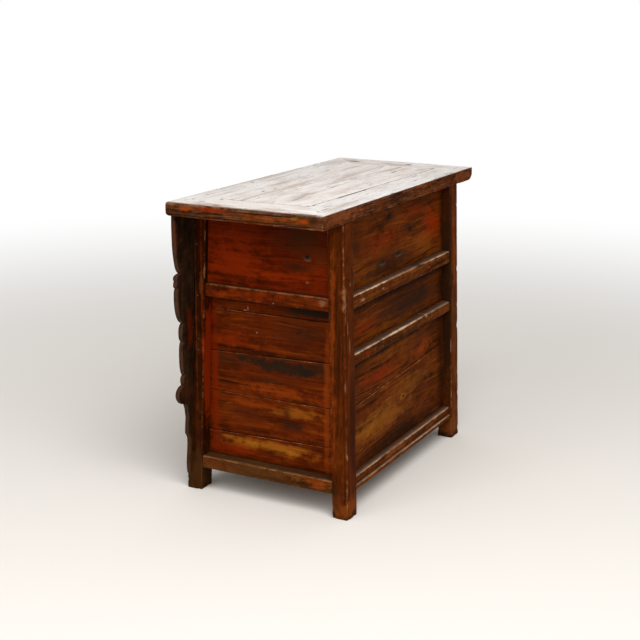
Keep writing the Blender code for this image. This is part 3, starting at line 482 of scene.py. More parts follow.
# Tones of wood and metal, dark to bright.
RED = ((0.034, 0.0046, 0.0005), (0.122, 0.0108, 0.0007), (0.195, 0.0215, 0.0012))
AMBER_RED = ((0.024, 0.0048, 0.0007), (0.113, 0.0146, 0.0011), (0.205, 0.0370, 0.0021))
BROWN = ((0.023, 0.0060, 0.0010), (0.110, 0.0215, 0.0020), (0.205, 0.0510, 0.0040))
LEG_BROWN = ((0.024, 0.0058, 0.0010), (0.086, 0.0155, 0.0016), (0.150, 0.0330, 0.0030))
UMBER = ((0.022, 0.0085, 0.0022), (0.098, 0.0260, 0.0050), (0.175, 0.0580, 0.0100))
DARK_RED = ((0.008, 0.0022, 0.0006), (0.032, 0.0068, 0.0013), (0.080, 0.0150, 0.0020))
# Tones of the wings, painted near black as shade.
WING_SHADE = ((0.0075, 0.0040, 0.0022), (0.0225, 0.0100, 0.0048), (0.0500, 0.0205, 0.0080))
TOP_EDGE = ((0.015, 0.0050, 0.0015), (0.085, 0.0205, 0.0042), (0.185, 0.0470, 0.0075))
RAIL_BACK = ((0.013, 0.0045, 0.0012), (0.096, 0.0225, 0.0034), (0.215, 0.0570, 0.0080))
# Tones of the top's upper face: worn pale, and paler still as painted glare.
PALE_PANEL = ((0.350, 0.2500, 0.1900), (0.725, 0.6600, 0.6150), (0.830, 0.7950, 0.7750))
PALE_STILE = ((0.360, 0.2800, 0.2300), (0.710, 0.6650, 0.6300), (0.810, 0.7950, 0.7850))
BARE = ((0.130, 0.0750, 0.0380), (0.260, 0.1650, 0.0900), (0.360, 0.2450, 0.1450))
BRASS = ((0.10, 0.065, 0.028), (0.28, 0.19, 0.075), (0.46, 0.33, 0.13))
IRON = ((0.05, 0.040, 0.034), (0.17, 0.145, 0.12))
# Colour laid on ledges, the faces that look up: its colour, its strength and its colour at the edge. The back's
# is dust and painted sheen, the sides' a darker tone.
SIDE_LEDGE = ((0.045, 0.0220, 0.0110), 0.75, (0.080, 0.0360, 0.0170))
BACK_DUST_AND_SHEEN = ((0.060, 0.0360, 0.0240), 0.75, (0.220, 0.1450, 0.1000))
# Single colours.
# Near black, for pits and lines and for painted shade.
BLACK = (0.006, 0.0038, 0.0024)
# A dark colour for smudges and stains, also laid as painted shade.
SOOT_AND_SHADE = (0.020, 0.0085, 0.0038)
# A dark colour for knots and stains, also laid as painted shade.
TAR_AND_SHADE = (0.0135, 0.0085, 0.0045)
ORANGE = (0.250, 0.0410, 0.0035)
SCARLET = (0.205, 0.0175, 0.0010)
AMBER = (0.310, 0.1030, 0.0080)
HONEY = (0.210, 0.0650, 0.0065)
TAN = (0.400, 0.2500, 0.1350)
SCUFF = (0.420, 0.2900, 0.2300)
SMUDGE = (0.300, 0.1850, 0.1150)
CHALK = (0.800, 0.7850, 0.7750)
RUBBED = (0.170, 0.0480, 0.0120)
CHIPPED = (0.290, 0.1200, 0.0460)
SCRAPED = (0.200, 0.0800, 0.0420)
BOARD_EDGE = (0.330, 0.1600, 0.0700)
CREAM = (0.600, 0.4300, 0.2700)
CRIMSON = (0.150, 0.0130, 0.0010)
RUSSET = (0.175, 0.0480, 0.0150)
GREYED = (0.210, 0.1550, 0.1150)
BACK_EDGE = (0.420, 0.2600, 0.1550)
# Edge colour of the front legs: wear and painted highlight along their arrises.
FRONT_LEG_EDGE = (0.200, 0.0900, 0.0360)
SMOKY_RED = (0.060, 0.0180, 0.0030)
OLIVE = (0.060, 0.0300, 0.0080)
FOOT_BROWN = (0.052, 0.0200, 0.0055)
FOOT_RED = (0.200, 0.0460, 0.0060)
OXBLOOD = (0.034, 0.0060, 0.0008)
WORN_RIM = (0.210, 0.1250, 0.0750)
WORN_CORNER = (0.130, 0.0750, 0.0450)
WING_RED = (0.090, 0.0095, 0.0012)
WING_RUST = (0.050, 0.0130, 0.0040)
WING_FOOT = (0.050, 0.0180, 0.0055)
WING_TIP = (0.080, 0.0150, 0.0070)
WING_EDGE = (0.062, 0.0300, 0.0180)
BRASS_SPECK = (0.07, 0.05, 0.025)
WHITE = (1.0, 1.0, 1.0, 1.0)
FLOOR_COLOUR = (0.84, 0.80, 0.745, 1.0)

# Places of marks, in millimetres. ANY is a radius that takes in the whole of a direction.
ANY = 9000.0
SIDE_AT, BACK_AT, BACK_KNOT_AT = 370, 230, 220
TOP_AT, TOP_REACH = 1000 * HEIGHT, 10
PIT_RADII = (9, 4.5)


def rows(place, table):
    """Marks of a table's rows. A list in it is marks already made."""
    made = []
    for row in table:
        made += row if isinstance(row, list) else [place(*row)]
    return made


def knot(place, across, size, rim):
    """Marks of a knot: a smudge, a crescent of rim colour and a dark core. across has ANY through the board."""
    x, y, z = place
    made = []
    for share, lift, *look in ((2.6, 0.0, SOOT_AND_SHADE, 0.65, 1.0, 1.0), (1.15, -0.14, rim, 0.5, 0.7, 1.2),
                               (0.95, 0.08, TAR_AND_SHADE, 0.9, 0.6, 1.0), (0.4, 0.1, BLACK, 0.8, 0.8, 0.8)):
        radii = [r if r is ANY else r * size * share for r in across]
        made.append(mark(x, y, z + lift * size, *radii, *look))
    return made


def side_knot(y, z, size):
    return knot((SIDE_AT, y, z), (ANY, 1.1, 0.65), size, SCRAPED)


def back_knot(x, z, size, rim):
    return knot((x, BACK_KNOT_AT, z), (1.3, ANY, 0.5), size, rim)


def lying(x, y, rx, ry, colour, strength=0.8, soft=0.7, ragged=0.9):
    """A mark on the upper face of the top."""
    return mark(x, y, TOP_AT, rx, ry, TOP_REACH, colour, strength, soft, ragged)


def pit(x, y, strength=0.95):
    """Marks of a nail hole in the top."""
    return [lying(x, y, *PIT_RADII, BLACK, strength, 0.5, 0.4)]


def on_side(y, z, ry, rz, colour, strength=0.8, soft=1.0, ragged=1.0):
    """A mark on the right side's panels or rails."""
    return mark(SIDE_AT, y, z, ANY, ry, rz, colour, strength, soft, ragged)


def on_back(x, z, rx, rz, colour, strength=0.8, soft=1.0, ragged=1.0):
    """A mark on the back's panels or rails."""
    return mark(x, BACK_AT, z, rx, ANY, rz, colour, strength, soft, ragged)


WING_MARKS = (
    (408, -235, 480, 22, 200, 90, WING_RED, 0.8, 1.0), (420, -235, 300, 60, 200, 50, WING_RUST, 0.7, 1.0),
    (400, -240, 120, 200, 200, 100, WING_FOOT, 0.65, 1.0), (485, -230, 730, 20, 200, 100, WING_TIP, 0.6, 1.0))
MARKS = {
    "side_upper_right": rows(on_side, (
        (-100, 675, 150, 90, SCARLET, 0.6), (110, 755, 170, 60, SOOT_AND_SHADE), (120, 715, 100, 80, SMOKY_RED, 0.4),
        # The black band at 800 along the panel's top is painted shadow under the top.
        (0, 800, 300, 20, BLACK, 0.75, 0.8), (60, 699, 60, 3, BLACK, 0.6, 0.8), side_knot(121, 702, 14),
        (85, 674, 60, 16, SOOT_AND_SHADE), (121, 634, 7, 5.5, TAN, 0.2, 0.8), (60, 645, 120, 18, SCARLET, 0.6))),
    "side_lower_right": rows(on_side, (
        (-124, 445, 100, 30, SCARLET, 0.65), (90, 485, 140, 50, SOOT_AND_SHADE, 0.55),
        (-76, 538, 2.2, 8, SCUFF, 0.4, 0.8), (-85, 531, 6, 2, SCUFF, 0.4, 0.8),
        (-137, 528, 5, 2, SCUFF, 0.35, 0.8), (-46, 473, 3, 3, SCUFF, 0.5, 0.8),
        (36, 390, 120, 32, TAR_AND_SHADE, 0.92, 0.6, 1.1), (-60, 400, 110, 14, TAR_AND_SHADE, 0.75, 0.8, 0.9),
        (135, 390, 60, 30, TAR_AND_SHADE, 0.8, 0.8), (-125, 385, 120, 30, SOOT_AND_SHADE, 0.6), (0, 345, 160, 14, SOOT_AND_SHADE, 0.5),
        (30, 318, 170, 20, ORANGE, 0.5), (87, 262, 100, 24, AMBER, 0.42), (61, 226, 60, 26, TAR_AND_SHADE, 0.7),
        (48, 250, 14, 45, TAR_AND_SHADE, 0.6, 1, 1.6), (83, 222, 18, 13, TAR_AND_SHADE, 0.8, 0.8),
        (-85, 235, 120, 30, SOOT_AND_SHADE, 0.4), (-60, 268, 130, 14, ORANGE, 0.4), (20, 152, 190, 22, AMBER, 0.65),
        (60, 146, 60, 9, AMBER, 0.7, 0.9), (-60, 153, 50, 10, AMBER, 0.5, 0.9), (148, 168, 50, 14, BLACK),
        (-120, 125, 120, 22, SCARLET, 0.6), (171, 300, 14, 340, ORANGE, 0.6, 0.8, 0.4),
        # The dark mark at 547.5 is painted shade in the slot under the mid rail.
        (-183, 300, 18, 340, CRIMSON, 0.8, 0.7, 0.5), (130, 547.5, 140, 19, TAR_AND_SHADE, 0.95, 0.7, 0.5))),
    "side_mid_rail_right": rows(on_side, (
        (-149, 588, 12, 7, BLACK, 0.8, 0.8), (24, 590, 10, 7, BLACK, 0.8, 0.8),
        (24, 571, 3, 2.5, SCUFF, 0.5, 0.8), (170, 588, 16, 14, SCRAPED, 0.75, 0.8),
        (-50, 585, 150, 14, SCARLET, 0.5))),
    "side_bottom_rail_right": rows(on_side, (
        (165, 85, 50, 20, ORANGE, 0.65), (-130, 85, 90, 14, SCARLET, 0.4),
        (-60, 83, 170, 35, OLIVE, 0.5, 0.8, 0.7), (20, 75, 120, 8, SOOT_AND_SHADE, 0.6))),
    "leg_front_right": rows(mark, (
        (362, -190, 310, 40, 16, 280, SCARLET, 0.9, 0.35, 0.4), (390, -198, 600, 20, 4, 240, SCARLET, 0.5),
        (392, -217, 500, 20, 3, 350, RUBBED, 0.4), (390, -230, 40, 100, 100, 110, FOOT_BROWN, 0.75),
        (392, -200, 600, 20, 10, 50, RUBBED, 0.4))),
    "leg_back_right": rows(mark, (
        (390, 222, 440, ANY, 7, 150, BLACK, 0.6), (389, 214, 580, ANY, 6, 110, BLACK, 0.5),
        (389, 203, 500, ANY, 10, 260, ORANGE, 0.4), (391, 212, 250, ANY, 8, 140, ORANGE, 0.3),
        (384, 238, 595, 16, 12, 48, BOARD_EDGE, 0.42, 1, 1.4), (387, 233, 680, 3, 3, 55, BOARD_EDGE, 0.35),
        (382, 240, 565, 2.5, 20, 30, BOARD_EDGE, 0.6), (373, 240, 525, 2.5, 20, 30, BOARD_EDGE, 0.5),
        (363, 242, 480, 2.5, 20, 30, BOARD_EDGE, 0.45), (355, 237, 638, 5, 20, 10, BOARD_EDGE, 0.5),
        (389, 251, 177, 4, 4, 9, BOARD_EDGE, 0.5), (395, 240, 15, 100, 100, 60, FOOT_RED, 0.7),
        (385, 240, 0, 100, 100, 22, TAR_AND_SHADE, 0.85, 0.8, 1.4), (393, 254, 40, 4, 4, 14, BOARD_EDGE, 0.7),
        (346, 250, 270, 40, 12, 220, OXBLOOD, 0.9, 0.5, 0.6), (340, 250, 620, 14, 12, 200, SOOT_AND_SHADE, 0.6, 0.8),
        (385, 210, 75, 30, 30, 50, SOOT_AND_SHADE, 0.5), (395, 222, 30, 20, 18, 26, TAR_AND_SHADE, 0.65, 1, 1.4))),
    "leg_back_left": rows(mark, (
        (-370, 240, 400, 100, 100, 550, HONEY, 0.24, 1), (-360, 240, 600, 15, 20, 180, ORANGE, 0.3),
        # The dark mark at x -332 is painted shade on the leg's inner face.
        (-332, 232, 420, 8.5, 60, 600, SOOT_AND_SHADE, 0.85, 0.6, 0.5), (-338, 252, 170, 3, 4, 55, TAN, 0.6),
        (-335, 247, 310, 3, 4, 40, TAN, 0.5), (-370, 250, 20, 100, 100, 45, RUBBED, 0.6),
        (-360, 240, 0, 100, 100, 22, TAR_AND_SHADE, 0.85, 0.8, 1.4))),
    "back_upper": rows(on_back, (
        back_knot(52, 767, 16, SOOT_AND_SHADE), back_knot(-91, 711, 15, SOOT_AND_SHADE), back_knot(95, 646, 16, GREYED),
        back_knot(-6, 651, 16, GREYED), (-255, 700, 90, 70, SCARLET, 0.85),
        (60, 640, 260, 40, SOOT_AND_SHADE, 0.6, 1, 0.7), (96, 710, 170, 40, SCARLET, 0.4),
        # The black marks at 800 under the top, at 625 above the mid rail and beside the legs at x 270 and -335
        # are painted shade.
        (-120, 760, 120, 30, SCARLET, 0.4), (0, 800, 500, 22, BLACK, 0.7, 0.8),
        (270, 720, 70, 80, BLACK, 0.6), (100, 625, 300, 18, BLACK, 0.5),
        (-335, 700, 35, 200, BLACK, 0.75, 1, 0.6))),
    "back_middle": rows(on_back, (
        # The black marks at 556 under the mid rail and at x -325 beside the leg are painted shade.
        (0, 556, 500, 20, BLACK, 0.8, 0.8), (220, 490, 100, 30, SCARLET, 0.4),
        (-100, 500, 340, 70, SOOT_AND_SHADE, 0.9, 1, 0.7), (-325, 505, 55, 120, BLACK, 0.8, 1, 0.6))),
    "back_lower": rows(on_back, (
        (125, 330, 160, 30, SCARLET, 0.55), (-162, 322, 120, 30, ORANGE, 0.45),
        (120, 200, 250, 60, HONEY, 0.85, 1, 0.6), (206, 195, 90, 30, AMBER, 0.3),
        (-60, 250, 200, 40, HONEY, 0.55, 1, 0.6), (-28, 223, 26, 14, AMBER, 0.65, 0.8, 0.8),
        (-28, 224.5, 13, 6.5, SOOT_AND_SHADE, 0.85, 0.7, 0.7), back_knot(-234, 235, 12, SOOT_AND_SHADE),
        # The black marks beside the legs at x -315 and 300, at 122 above the bottom rail and at 406 under the
        # shelf rail are painted shade.
        (-315, 250, 55, 250, BLACK, 0.75, 1, 0.6), (300, 360, 70, 60, BLACK, 0.6, 1, 0.7),
        (-190, 355, 70, 35, ORANGE, 0.55), (0, 122, 400, 30, BLACK, 0.75, 0.8),
        (0, 406, 500, 22, BLACK, 0.85, 0.8), (-200, 370, 140, 30, SOOT_AND_SHADE, 0.5))),
    "back_mid_rail": rows(on_back, (
        (-105, 600, 60, 4, BLACK, 0.9, 0.8), (144, 586, 10, 4, TAN, 0.5, 0.8),
        (271, 582, 13, 5, TAN, 0.5, 0.8), (-173, 583, 18, 8, ORANGE, 0.6, 0.8),
        (100, 575, 200, 6, BLACK, 0.5))) + rows(mark, (
        # The cream marks along the top arris are worn bare wood and painted highlight.
        (200, 233, 602, 160, 4.5, 4, CREAM, 0.8, 0.7, 0.8),
        (-240, 233, 602, 80, 4, 3.5, CREAM, 0.65, 0.7, 0.8))),
    "back_shelf_rail": rows(on_back, (
        (149, 424, 12, 4, TAN, 0.5, 0.8), (-153, 440, 8, 8, TAN, 0.6, 0.8), (0, 419, 300, 5, BLACK, 0.5),
        (250, 430, 50, 8, SCARLET, 0.7), (175, 433, 22, 8, TAR_AND_SHADE, 0.8, 0.8))) + rows(mark, (
        # The cream marks along the top arris are worn bare wood and painted highlight.
        (30, 237.5, 444, 170, 6, 4.5, CREAM, 0.85, 0.7, 0.8),
        (260, 237.5, 444, 80, 4, 3.5, CREAM, 0.6, 0.7, 0.8))),
    "back_bottom_rail": rows(on_back, (
        (50, 92, 100, 8, RUBBED, 0.5), (-200, 90, 60, 10, ORANGE, 0.3, 0.8),
        # The mark along the top arris is worn bare wood and painted highlight.
        [mark(-80, 245.2, 102, 180, 4.5, 4, BACK_EDGE, 0.75)])),
    "top_panel": rows(lying, (
        (383.6, 127, 8, 5, SOOT_AND_SHADE, 0.75), pit(231, -93), pit(179, -86, 0.85), pit(74, 26, 0.6),
        (85, -118, 70, 25, SMUDGE, 0.45, 1), (-275, 68, 26, 4.8, SOOT_AND_SHADE, 0.9, 0.6, 0.4),
        (222, 37, 90, 20, SMUDGE, 0.5, 1), (-4, 7, 140, 12, SMUDGE, 0.5, 1),
        (100, -70, 250, 20, SMUDGE, 0.45, 1), (-200, -30, 200, 16, SMUDGE, 0.35, 1),
        (-330, 70, 70, 30, SMUDGE, 0.4, 1), (-300, -90, 120, 20, SMUDGE, 0.3, 1),
        (50, 90, 200, 12, SMUDGE, 0.35, 1))),
    "top_stile_back": rows(lying, (
        (150, 139.5, 130, 4.2, BLACK, 1, 0.6, 0.3), (265, 201, 110, 1.4, BLACK, 0.75, 0.6, 0.3),
        (412, 191, 24, 2.7, BLACK, 0.9, 0.6, 0.3), (370, 174.5, 24, 2.2, BLACK, 0.8, 0.6, 0.3),
        (442, 188.5, 6, 5, BLACK, 0.8, 0.7, 0.5), (200, 216, 50, 1.2, SOOT_AND_SHADE, 0.7, 0.6, 0.3),
        (-300, 165, 100, 10, SMUDGE, 0.4, 1), (330, 205, 160, 24, SMUDGE, 0.35, 1))) + rows(mark, (
        (410, 233, 824, 130, 8, 30, RUSSET, 0.7, 0.9), (-420, 233, 824, 110, 8, 30, RUSSET, 0.6, 0.9),
        (50, 233, 820, 200, 8, 12, SOOT_AND_SHADE, 0.6, 0.9))),
    "top_stile_front": rows(lying, (
        pit(110, -199, 0.9), pit(348, -199, 0.7), pit(430, -191, 0.6), (4, -181, 140, 10, SMUDGE, 0.5, 1),
        (300, -165, 120, 12, SMUDGE, 0.5, 1), (0, -222, 500, 22, SMUDGE, 0.6, 1),
        (-360, -190, 130, 50, SMUDGE, 0.45, 1))),
    "top_end_right": rows(lying, (
        (497, 0, 10, 400, WORN_RIM, 0.8, 0.9, 1.2), pit(404, -119, 0.9), (485, -88, 12, 14, SOOT_AND_SHADE, 0.7),
        (480, -98, 26, 100, SMUDGE, 0.7, 1), (470, 92, 24, 80, SMUDGE, 0.55, 1),
        (455, 190, 60, 70, CHALK, 0.45, 1, 0.5), (497, 175, 16, 100, WORN_CORNER, 0.9, 0.8),
        (455, -148, 12, 16, SOOT_AND_SHADE, 0.5))) + rows(mark, (
        (499, -170, 826, 10, 40, 12, ORANGE, 0.85, 0.9), (499, -90, 829, 10, 70, 9, SCARLET, 0.8, 0.9),
        (499, 60, 822, 10, 100, 8, ORANGE, 0.45, 1), (499, 150, 828, 10, 16, 8, AMBER, 0.6, 0.9, 1.4),
        (499, 178, 823, 10, 18, 7, ORANGE, 0.85, 0.9, 1.4),
        (499, 120, 820, 10, 30, 6, ORANGE, 0.7, 0.9, 1.4),
        (499, 207, 826, 10, 20, 14, SOOT_AND_SHADE, 0.7, 0.9, 1.2), (499, 63, 829, 20, 130, 2, BLACK),
        (499, 20, 836, 10, 130, 4, BLACK, 0.6, 1), (499, 233, 820, 5, 5, 30, SCRAPED),
        (497, 0, 808.5, 30, 600, 1.6, BLACK, 0.85))),
    "top_end_left": rows(lying, (
        (-446, -165, 50, 70, SMUDGE, 0.6, 1), (-445, 40, 14, 14, SOOT_AND_SHADE, 0.85, 0.7, 0.8),
        (-435, -140, 12, 24, SOOT_AND_SHADE, 0.85, 0.7, 0.8), (-443, -31, 12, 24, SOOT_AND_SHADE, 0.65, 0.8, 1),
        (-423, 15, 40, 50, SMUDGE, 0.55, 1), (-450, 140, 30, 50, SMUDGE, 0.4, 1))),
}


def rail_sections(sx=None, sy=None, near=RAIL_SETBACK, far=SIDE_RAIL_INNER, low=0.0, high=0.0):
    """End sections of a rail between two legs: outer low, inner low, inner high, outer high."""
    corners = ((near, low), (far, low), (far, high), (near, high))
    if sy is None:
        return [[inside(sx, a, end, LEG_DEPTH + GAP, z) for a, z in corners] for end in (-1, 1)]
    return [[inside(end, LEG_WIDTH + GAP, sy, b, z) for b, z in corners] for end in (-1, 1)]


def legs():
    corners = ((0, 0), (LEG_WIDTH, 0), (LEG_WIDTH, LEG_DEPTH), (0, LEG_DEPTH))
    for e, (end, sy) in enumerate(ENDS.items()):
        for s, (side, sx) in enumerate(SIDES.items()):
            seed = 1.0 + 2 * e + s

            def frayed_foot(u, v, along):
                near = max(0.0, 1 - along / FOOT_WEAR)
                chip = max(0.0, noise.noise(Vector((u * 60 + seed, v * 60, along * 70))) - 0.05)
                return FOOT_CHIP * near * chip, 0.9 * near * min(1.0, 3 * chip)

            name = f"leg_{end}_{side}"
            # On the front legs the edge colour along the arrises is wear and painted highlight.
            tones, edge = (LEG_BROWN, SCRAPED) if end == "back" else (DARK_RED, FRONT_LEG_EDGE)
            material = wood(f"{name}_wood", "Z", seed, tones, edge, MARKS.get(name, ()), figure=50.0,
                            patches=0.4, worn=(0.80, 1.02, 0.8), line=(BLACK, 0.4), mottle=0.45, streaks=0.6,
                            gloss=0.006)
            worn_bar(name, material, "case", "wood_frame",
                     [[inside(sx, a, sy, b, z) for a, b in corners] for z in (0.0, LEG_HEIGHT - GAP)],
                     radius=(0.005, 0.004, 0.003, 0.004), chip=0.0024, wave=0.0006, seed=seed,
                     end_round=0.0015, relief=frayed_foot)


def rails():
    for s, (side, sx) in enumerate(SIDES.items()):
        for k, (level, (low, high)) in enumerate((("bottom", BOTTOM_RAIL), ("mid", MID_RAIL))):
            seed = 10.0 + 2 * s + k
            name = f"side_{level}_rail_{side}"
            material = wood(f"{name}_wood", "Y", seed, AMBER_RED if k else UMBER, CHIPPED, MARKS.get(name, ()),
                            ledge=SIDE_LEDGE, worn=(0.88, 1.2, 0.75), arris=(CHIPPED, 0.7))
            worn_bar(name, material, "case", "wood_frame", rail_sections(sx=sx, low=low, high=high),
                     radius=(0.004, 0.003, 0.003, 0.005), seed=seed)
    levels = (("bottom", BOTTOM_RAIL), ("shelf", SHELF_RAIL), ("mid", MID_RAIL))
    for k, (level, (low, high)) in enumerate(levels):
        shape = Shape()
        seed = 20.0 + k
        near, foot, rounding = RAIL_SETBACK, low, 0.004
        if level == "bottom":
            near, foot, rounding = RAIL_SETBACK + BACK_LIP_STEP, low + BACK_LIP_HEIGHT, 0.002
            lip = rail_sections(sy=1, far=CROSS_RAIL_INNER, low=low, high=foot - GAP / 2)
            add_bar(shape, *lip, radius=(0.003, 0.003, 0.001, 0.0035), seed=seed + 0.5)
        add_bar(shape, *rail_sections(sy=1, near=near, far=CROSS_RAIL_INNER, low=foot, high=high),
                radius=(rounding, 0.003, 0.003, 0.0045), seed=seed, chip=0.0034, wave=0.0008)
        name = f"back_{level}_rail"
        material = wood(f"{name}_wood", "X", seed, RAIL_BACK, CHIPPED, MARKS[name], gloss=0.004,
                        ledge=BACK_DUST_AND_SHEEN, worn=(0.78, 1.05, 0.7), arris=(BACK_EDGE, 0.9))
        finish_piece(shape, f"worn_{name}", material, "case", [name])
    worn = (0.86, 1.25, 0.75)
    levels = (("bottom", BOTTOM_RAIL, CROSS_RAIL_INNER), ("mid", MID_RAIL, CROSS_RAIL_INNER),
              ("top", TOP_RAIL, TOP_RAIL_INNER))
    for k, (level, (low, high), far) in enumerate(levels):
        seed = 25.0 + k
        name = f"front_{level}_rail"
        worn_bar(name, wood(f"{name}_wood", "X", seed, BROWN, CHIPPED, worn=worn), "case", "wood_frame",
                 rail_sections(sy=-1, far=far, low=low, high=high), radius=0.0045, seed=seed)
    corners = ((-DIVIDER_HALF, RAIL_SETBACK), (DIVIDER_HALF, RAIL_SETBACK), (DIVIDER_HALF, TOP_RAIL_INNER),
               (-DIVIDER_HALF, TOP_RAIL_INNER))
    sections = [[Vector((x, b - case_y(z), z)) for x, b in corners]
                for z in (MID_RAIL[1] + GAP, TOP_RAIL[0] - GAP)]
    worn_bar("drawer_divider", wood("drawer_divider_wood", "Z", 29.0, BROWN, CHIPPED, worn=worn), "case",
             "wood_frame", sections, radius=0.004, seed=29.0)


def board_sections(make, faces, thickness, low, high):
    """End sections of a board in a panel. faces, low and high are given at its two ends."""
    return [[make(end, face, z0), make(end, face + thickness, z0), make(end, face + thickness, z1),
             make(end, face, z1)] for end, face, z0, z1 in zip((-1, 1), faces, low, high)]


def boarded_panel(make, face, low, high, seams, seed, proud=()):
    """A panel of boards one above the other. A seam is its height at the two ends."""
    shape = Shape()
    edges = [(low + GAP, low + GAP), *seams, (high - GAP, high - GAP)]
    for k, (below, above) in enumerate(zip(edges, edges[1:])):
        start = below if k == 0 else tuple(z + SEAM / 2 for z in below)
        stop = above if k == len(edges) - 2 else tuple(z - SEAM / 2 for z in above)
        out = proud[k] if k < len(proud) else 0.0
        board = board_sections(make, (face - out,) * 2, PANEL_THICKNESS + out, start, stop)
        add_bar(shape, *board, radius=0.0018, step=0.011, wave=0.0008, chip=0.0007, seed=seed + 0.37 * k,
                end_round=0.0006, arc=2)
    return shape


def panels():
    worn = (0.9, 1.25, 0.7)
    for side, sx in SIDES.items():
        def along_side(end, depth, z):
            return inside(sx, depth, end, LEG_DEPTH + GAP, z)
        seed = 31.0 if sx > 0 else 33.0
        name = f"side_upper_{side}"
        shape = boarded_panel(along_side, UPPER_SIDE_PANEL, MID_RAIL[1], LEG_HEIGHT, (), seed)
        material = wood(f"{name}_wood", "Y", seed, RED, RUBBED, MARKS.get(name, ()), patches=0.35, worn=worn,
                        gloss=0.006, mottle=0.3, streaks=1.4)
        finish_piece(shape, f"{name}_boards", material, "case", [f"side_upper_panel_{side}"])
        name = f"side_lower_{side}"
        top = SLIPPED_BOARD_TOP if sx > 0 else MID_RAIL[0]
        seed += 1
        shape = boarded_panel(along_side, LOWER_SIDE_PANEL, BOTTOM_RAIL[1], top, SIDE_SEAMS, seed, SIDE_PROUD)
        if sx > 0:
            strip = board_sections(along_side, GAP_STRIP, PANEL_THICKNESS / 2, (top, top),
                                   (MID_RAIL[0] - GAP,) * 2)
            add_bar(shape, *strip, radius=0.001, step=0.011, chip=0.0005, seed=seed + 5, arc=2)
        # The pale arris on the boards' upper edges is painted highlight.
        material = wood(f"{name}_wood", "Y", seed, AMBER_RED, RUBBED, MARKS.get(name, ()), worn=worn,
                        arris=(BOARD_EDGE, 0.8), mottle=0.3, streaks=1.4)
        finish_piece(shape, f"{name}_boards", material, "case", [f"side_lower_panel_{side}"])

    def along_back(end, depth, z):
        return inside(end, LEG_WIDTH + GAP, 1, depth, z)
    spans = (("lower", BOTTOM_RAIL[1], SHELF_RAIL[0], BACK_SEAMS), ("middle", SHELF_RAIL[1], MID_RAIL[0], ()),
             ("upper", MID_RAIL[1], LEG_HEIGHT, ()))
    for k, (level, low, high, seams) in enumerate(spans):
        seed = 41.0 + k
        shape = boarded_panel(along_back, BACK_PANEL, low, high, seams, seed, BACK_PROUD)
        material = wood(f"back_{level}_wood", "X", seed, BROWN, BOARD_EDGE, MARKS[f"back_{level}"],
                        gloss=0.005, worn=(0.70, 0.95, 0.7), mottle=0.2, streaks=1.6)
        finish_piece(shape, f"back_{level}_boards", material, "case", [f"back_{level}_panel"])


def quarter_curve(start, end, from_crest, steps=9):
    """Points of a quarter ellipse between a crest and a hollow, without the start."""
    for i in range(1, steps + 1):
        turn = i / steps * math.pi / 2
        along, out = math.sin(turn), 1 - math.cos(turn)
        if not from_crest:
            along, out = out, along
        yield start[0] + (end[0] - start[0]) * along, start[1] + (end[1] - start[1]) * out


def wing_outline():
    """Outer edge of a wing from the top down, as (height, reach)."""
    points = [WING_TOP, *quarter_curve(WING_TOP, WING_FIRST_HOLLOW, True)]
    hollow = WING_FIRST_HOLLOW
    for crest, next_hollow in WING_LOBES:
        points += quarter_curve(hollow, crest, False)
        points += quarter_curve(crest, next_hollow, True)
        hollow = next_hollow
    return points + list(WING_TAPER)


def wings():
    outline = wing_outline()
    count = len(outline)
    turned = []
    for i in range(count):
        before, after = outline[max(i - 1, 0)], outline[min(i + 1, count - 1)]
        tangent = Vector((after[0] - before[0], after[1] - before[1])).normalized()
        turned.append(Vector((tangent.y, -tangent.x)))
    face, back = WING_FACES
    profile = ((face, 0.0030, 0.15), (face + 0.0009, 0.0010, 0.7), (face + 0.0030, 0.0, 1.0),
               (back - 0.0030, 0.0, 1.0), (back - 0.0009, 0.0010, 0.8), (back, 0.0030, 0.15))
    for s, (side, sx) in enumerate(SIDES.items()):
        shape = Shape()
        rings, wears = [], []
        for b, shrink, wear in profile:
            ring = []
            for i, ((z, reach), n) in enumerate(zip(outline, turned)):
                nick = WING_NICK * max(0.0, noise.noise(Vector((z * 60, b * 40, 3.0 + s))))
                size = min(shrink, 0.4 * max(reach, 0.0))
                if i in (0, count - 1):
                    level, out = z, reach - size - nick
                else:
                    level, out = z - n.x * (size + nick), reach - n.y * (size + nick)
                ring.append(inside(sx, -out, -1, b, level))
            ring += [inside(sx, WING_TONGUE, -1, b, z) for z in (outline[-1][0], outline[0][0])]
            rings.append(ring)
            wears.append([wear] * count + [0.0, 0.0])
        shape.add_rings(rings, wears)
        marks = [mark(sx * x, *rest) for x, *rest in WING_MARKS]
        # The wings are painted dark as shade.
        material = wood(f"wing_{side}_wood", "Z", 83.0 + s, WING_SHADE, WING_EDGE, marks, worn=(0.72, 1.06, 0.8))
        finish_piece(shape, f"worn_wing_{side}", material, "case", [f"wing_{side}"], 50)


def under_edge(x, y):
    """Lowest and highest level of the top at a place, as its four moulded edges leave it."""
    low, high = LEG_HEIGHT, HEIGHT
    ends = HALF_LENGTH - abs(x)
    reach, rise = END_UNDERCUT[1 if x > 0 else -1]
    if ends < reach:
        low += rise * (1 - math.sqrt(max(0.0, 1 - (1 - ends / reach) ** 2)))
    for distance, radius in ((ends, END_ROUND), (HALF_DEPTH + y, FRONT_ROUND), (HALF_DEPTH - y, BACK_ROUND)):
        if distance < radius:
            fall = radius - math.sqrt(max(0.0, radius ** 2 - (radius - distance) ** 2))
            high -= fall
            low += 0.0 if distance is ends else fall
    return min(low, 0.5 * (LEG_HEIGHT + HEIGHT)), max(high, 0.5 * (LEG_HEIGHT + HEIGHT))


def moulded(shape):
    """Bring a piece of the top within its moulded edges."""
    for point in shape.points:
        low, high = under_edge(point.x, point.y)
        point.z = min(max(point.z, low), high)
    return shape


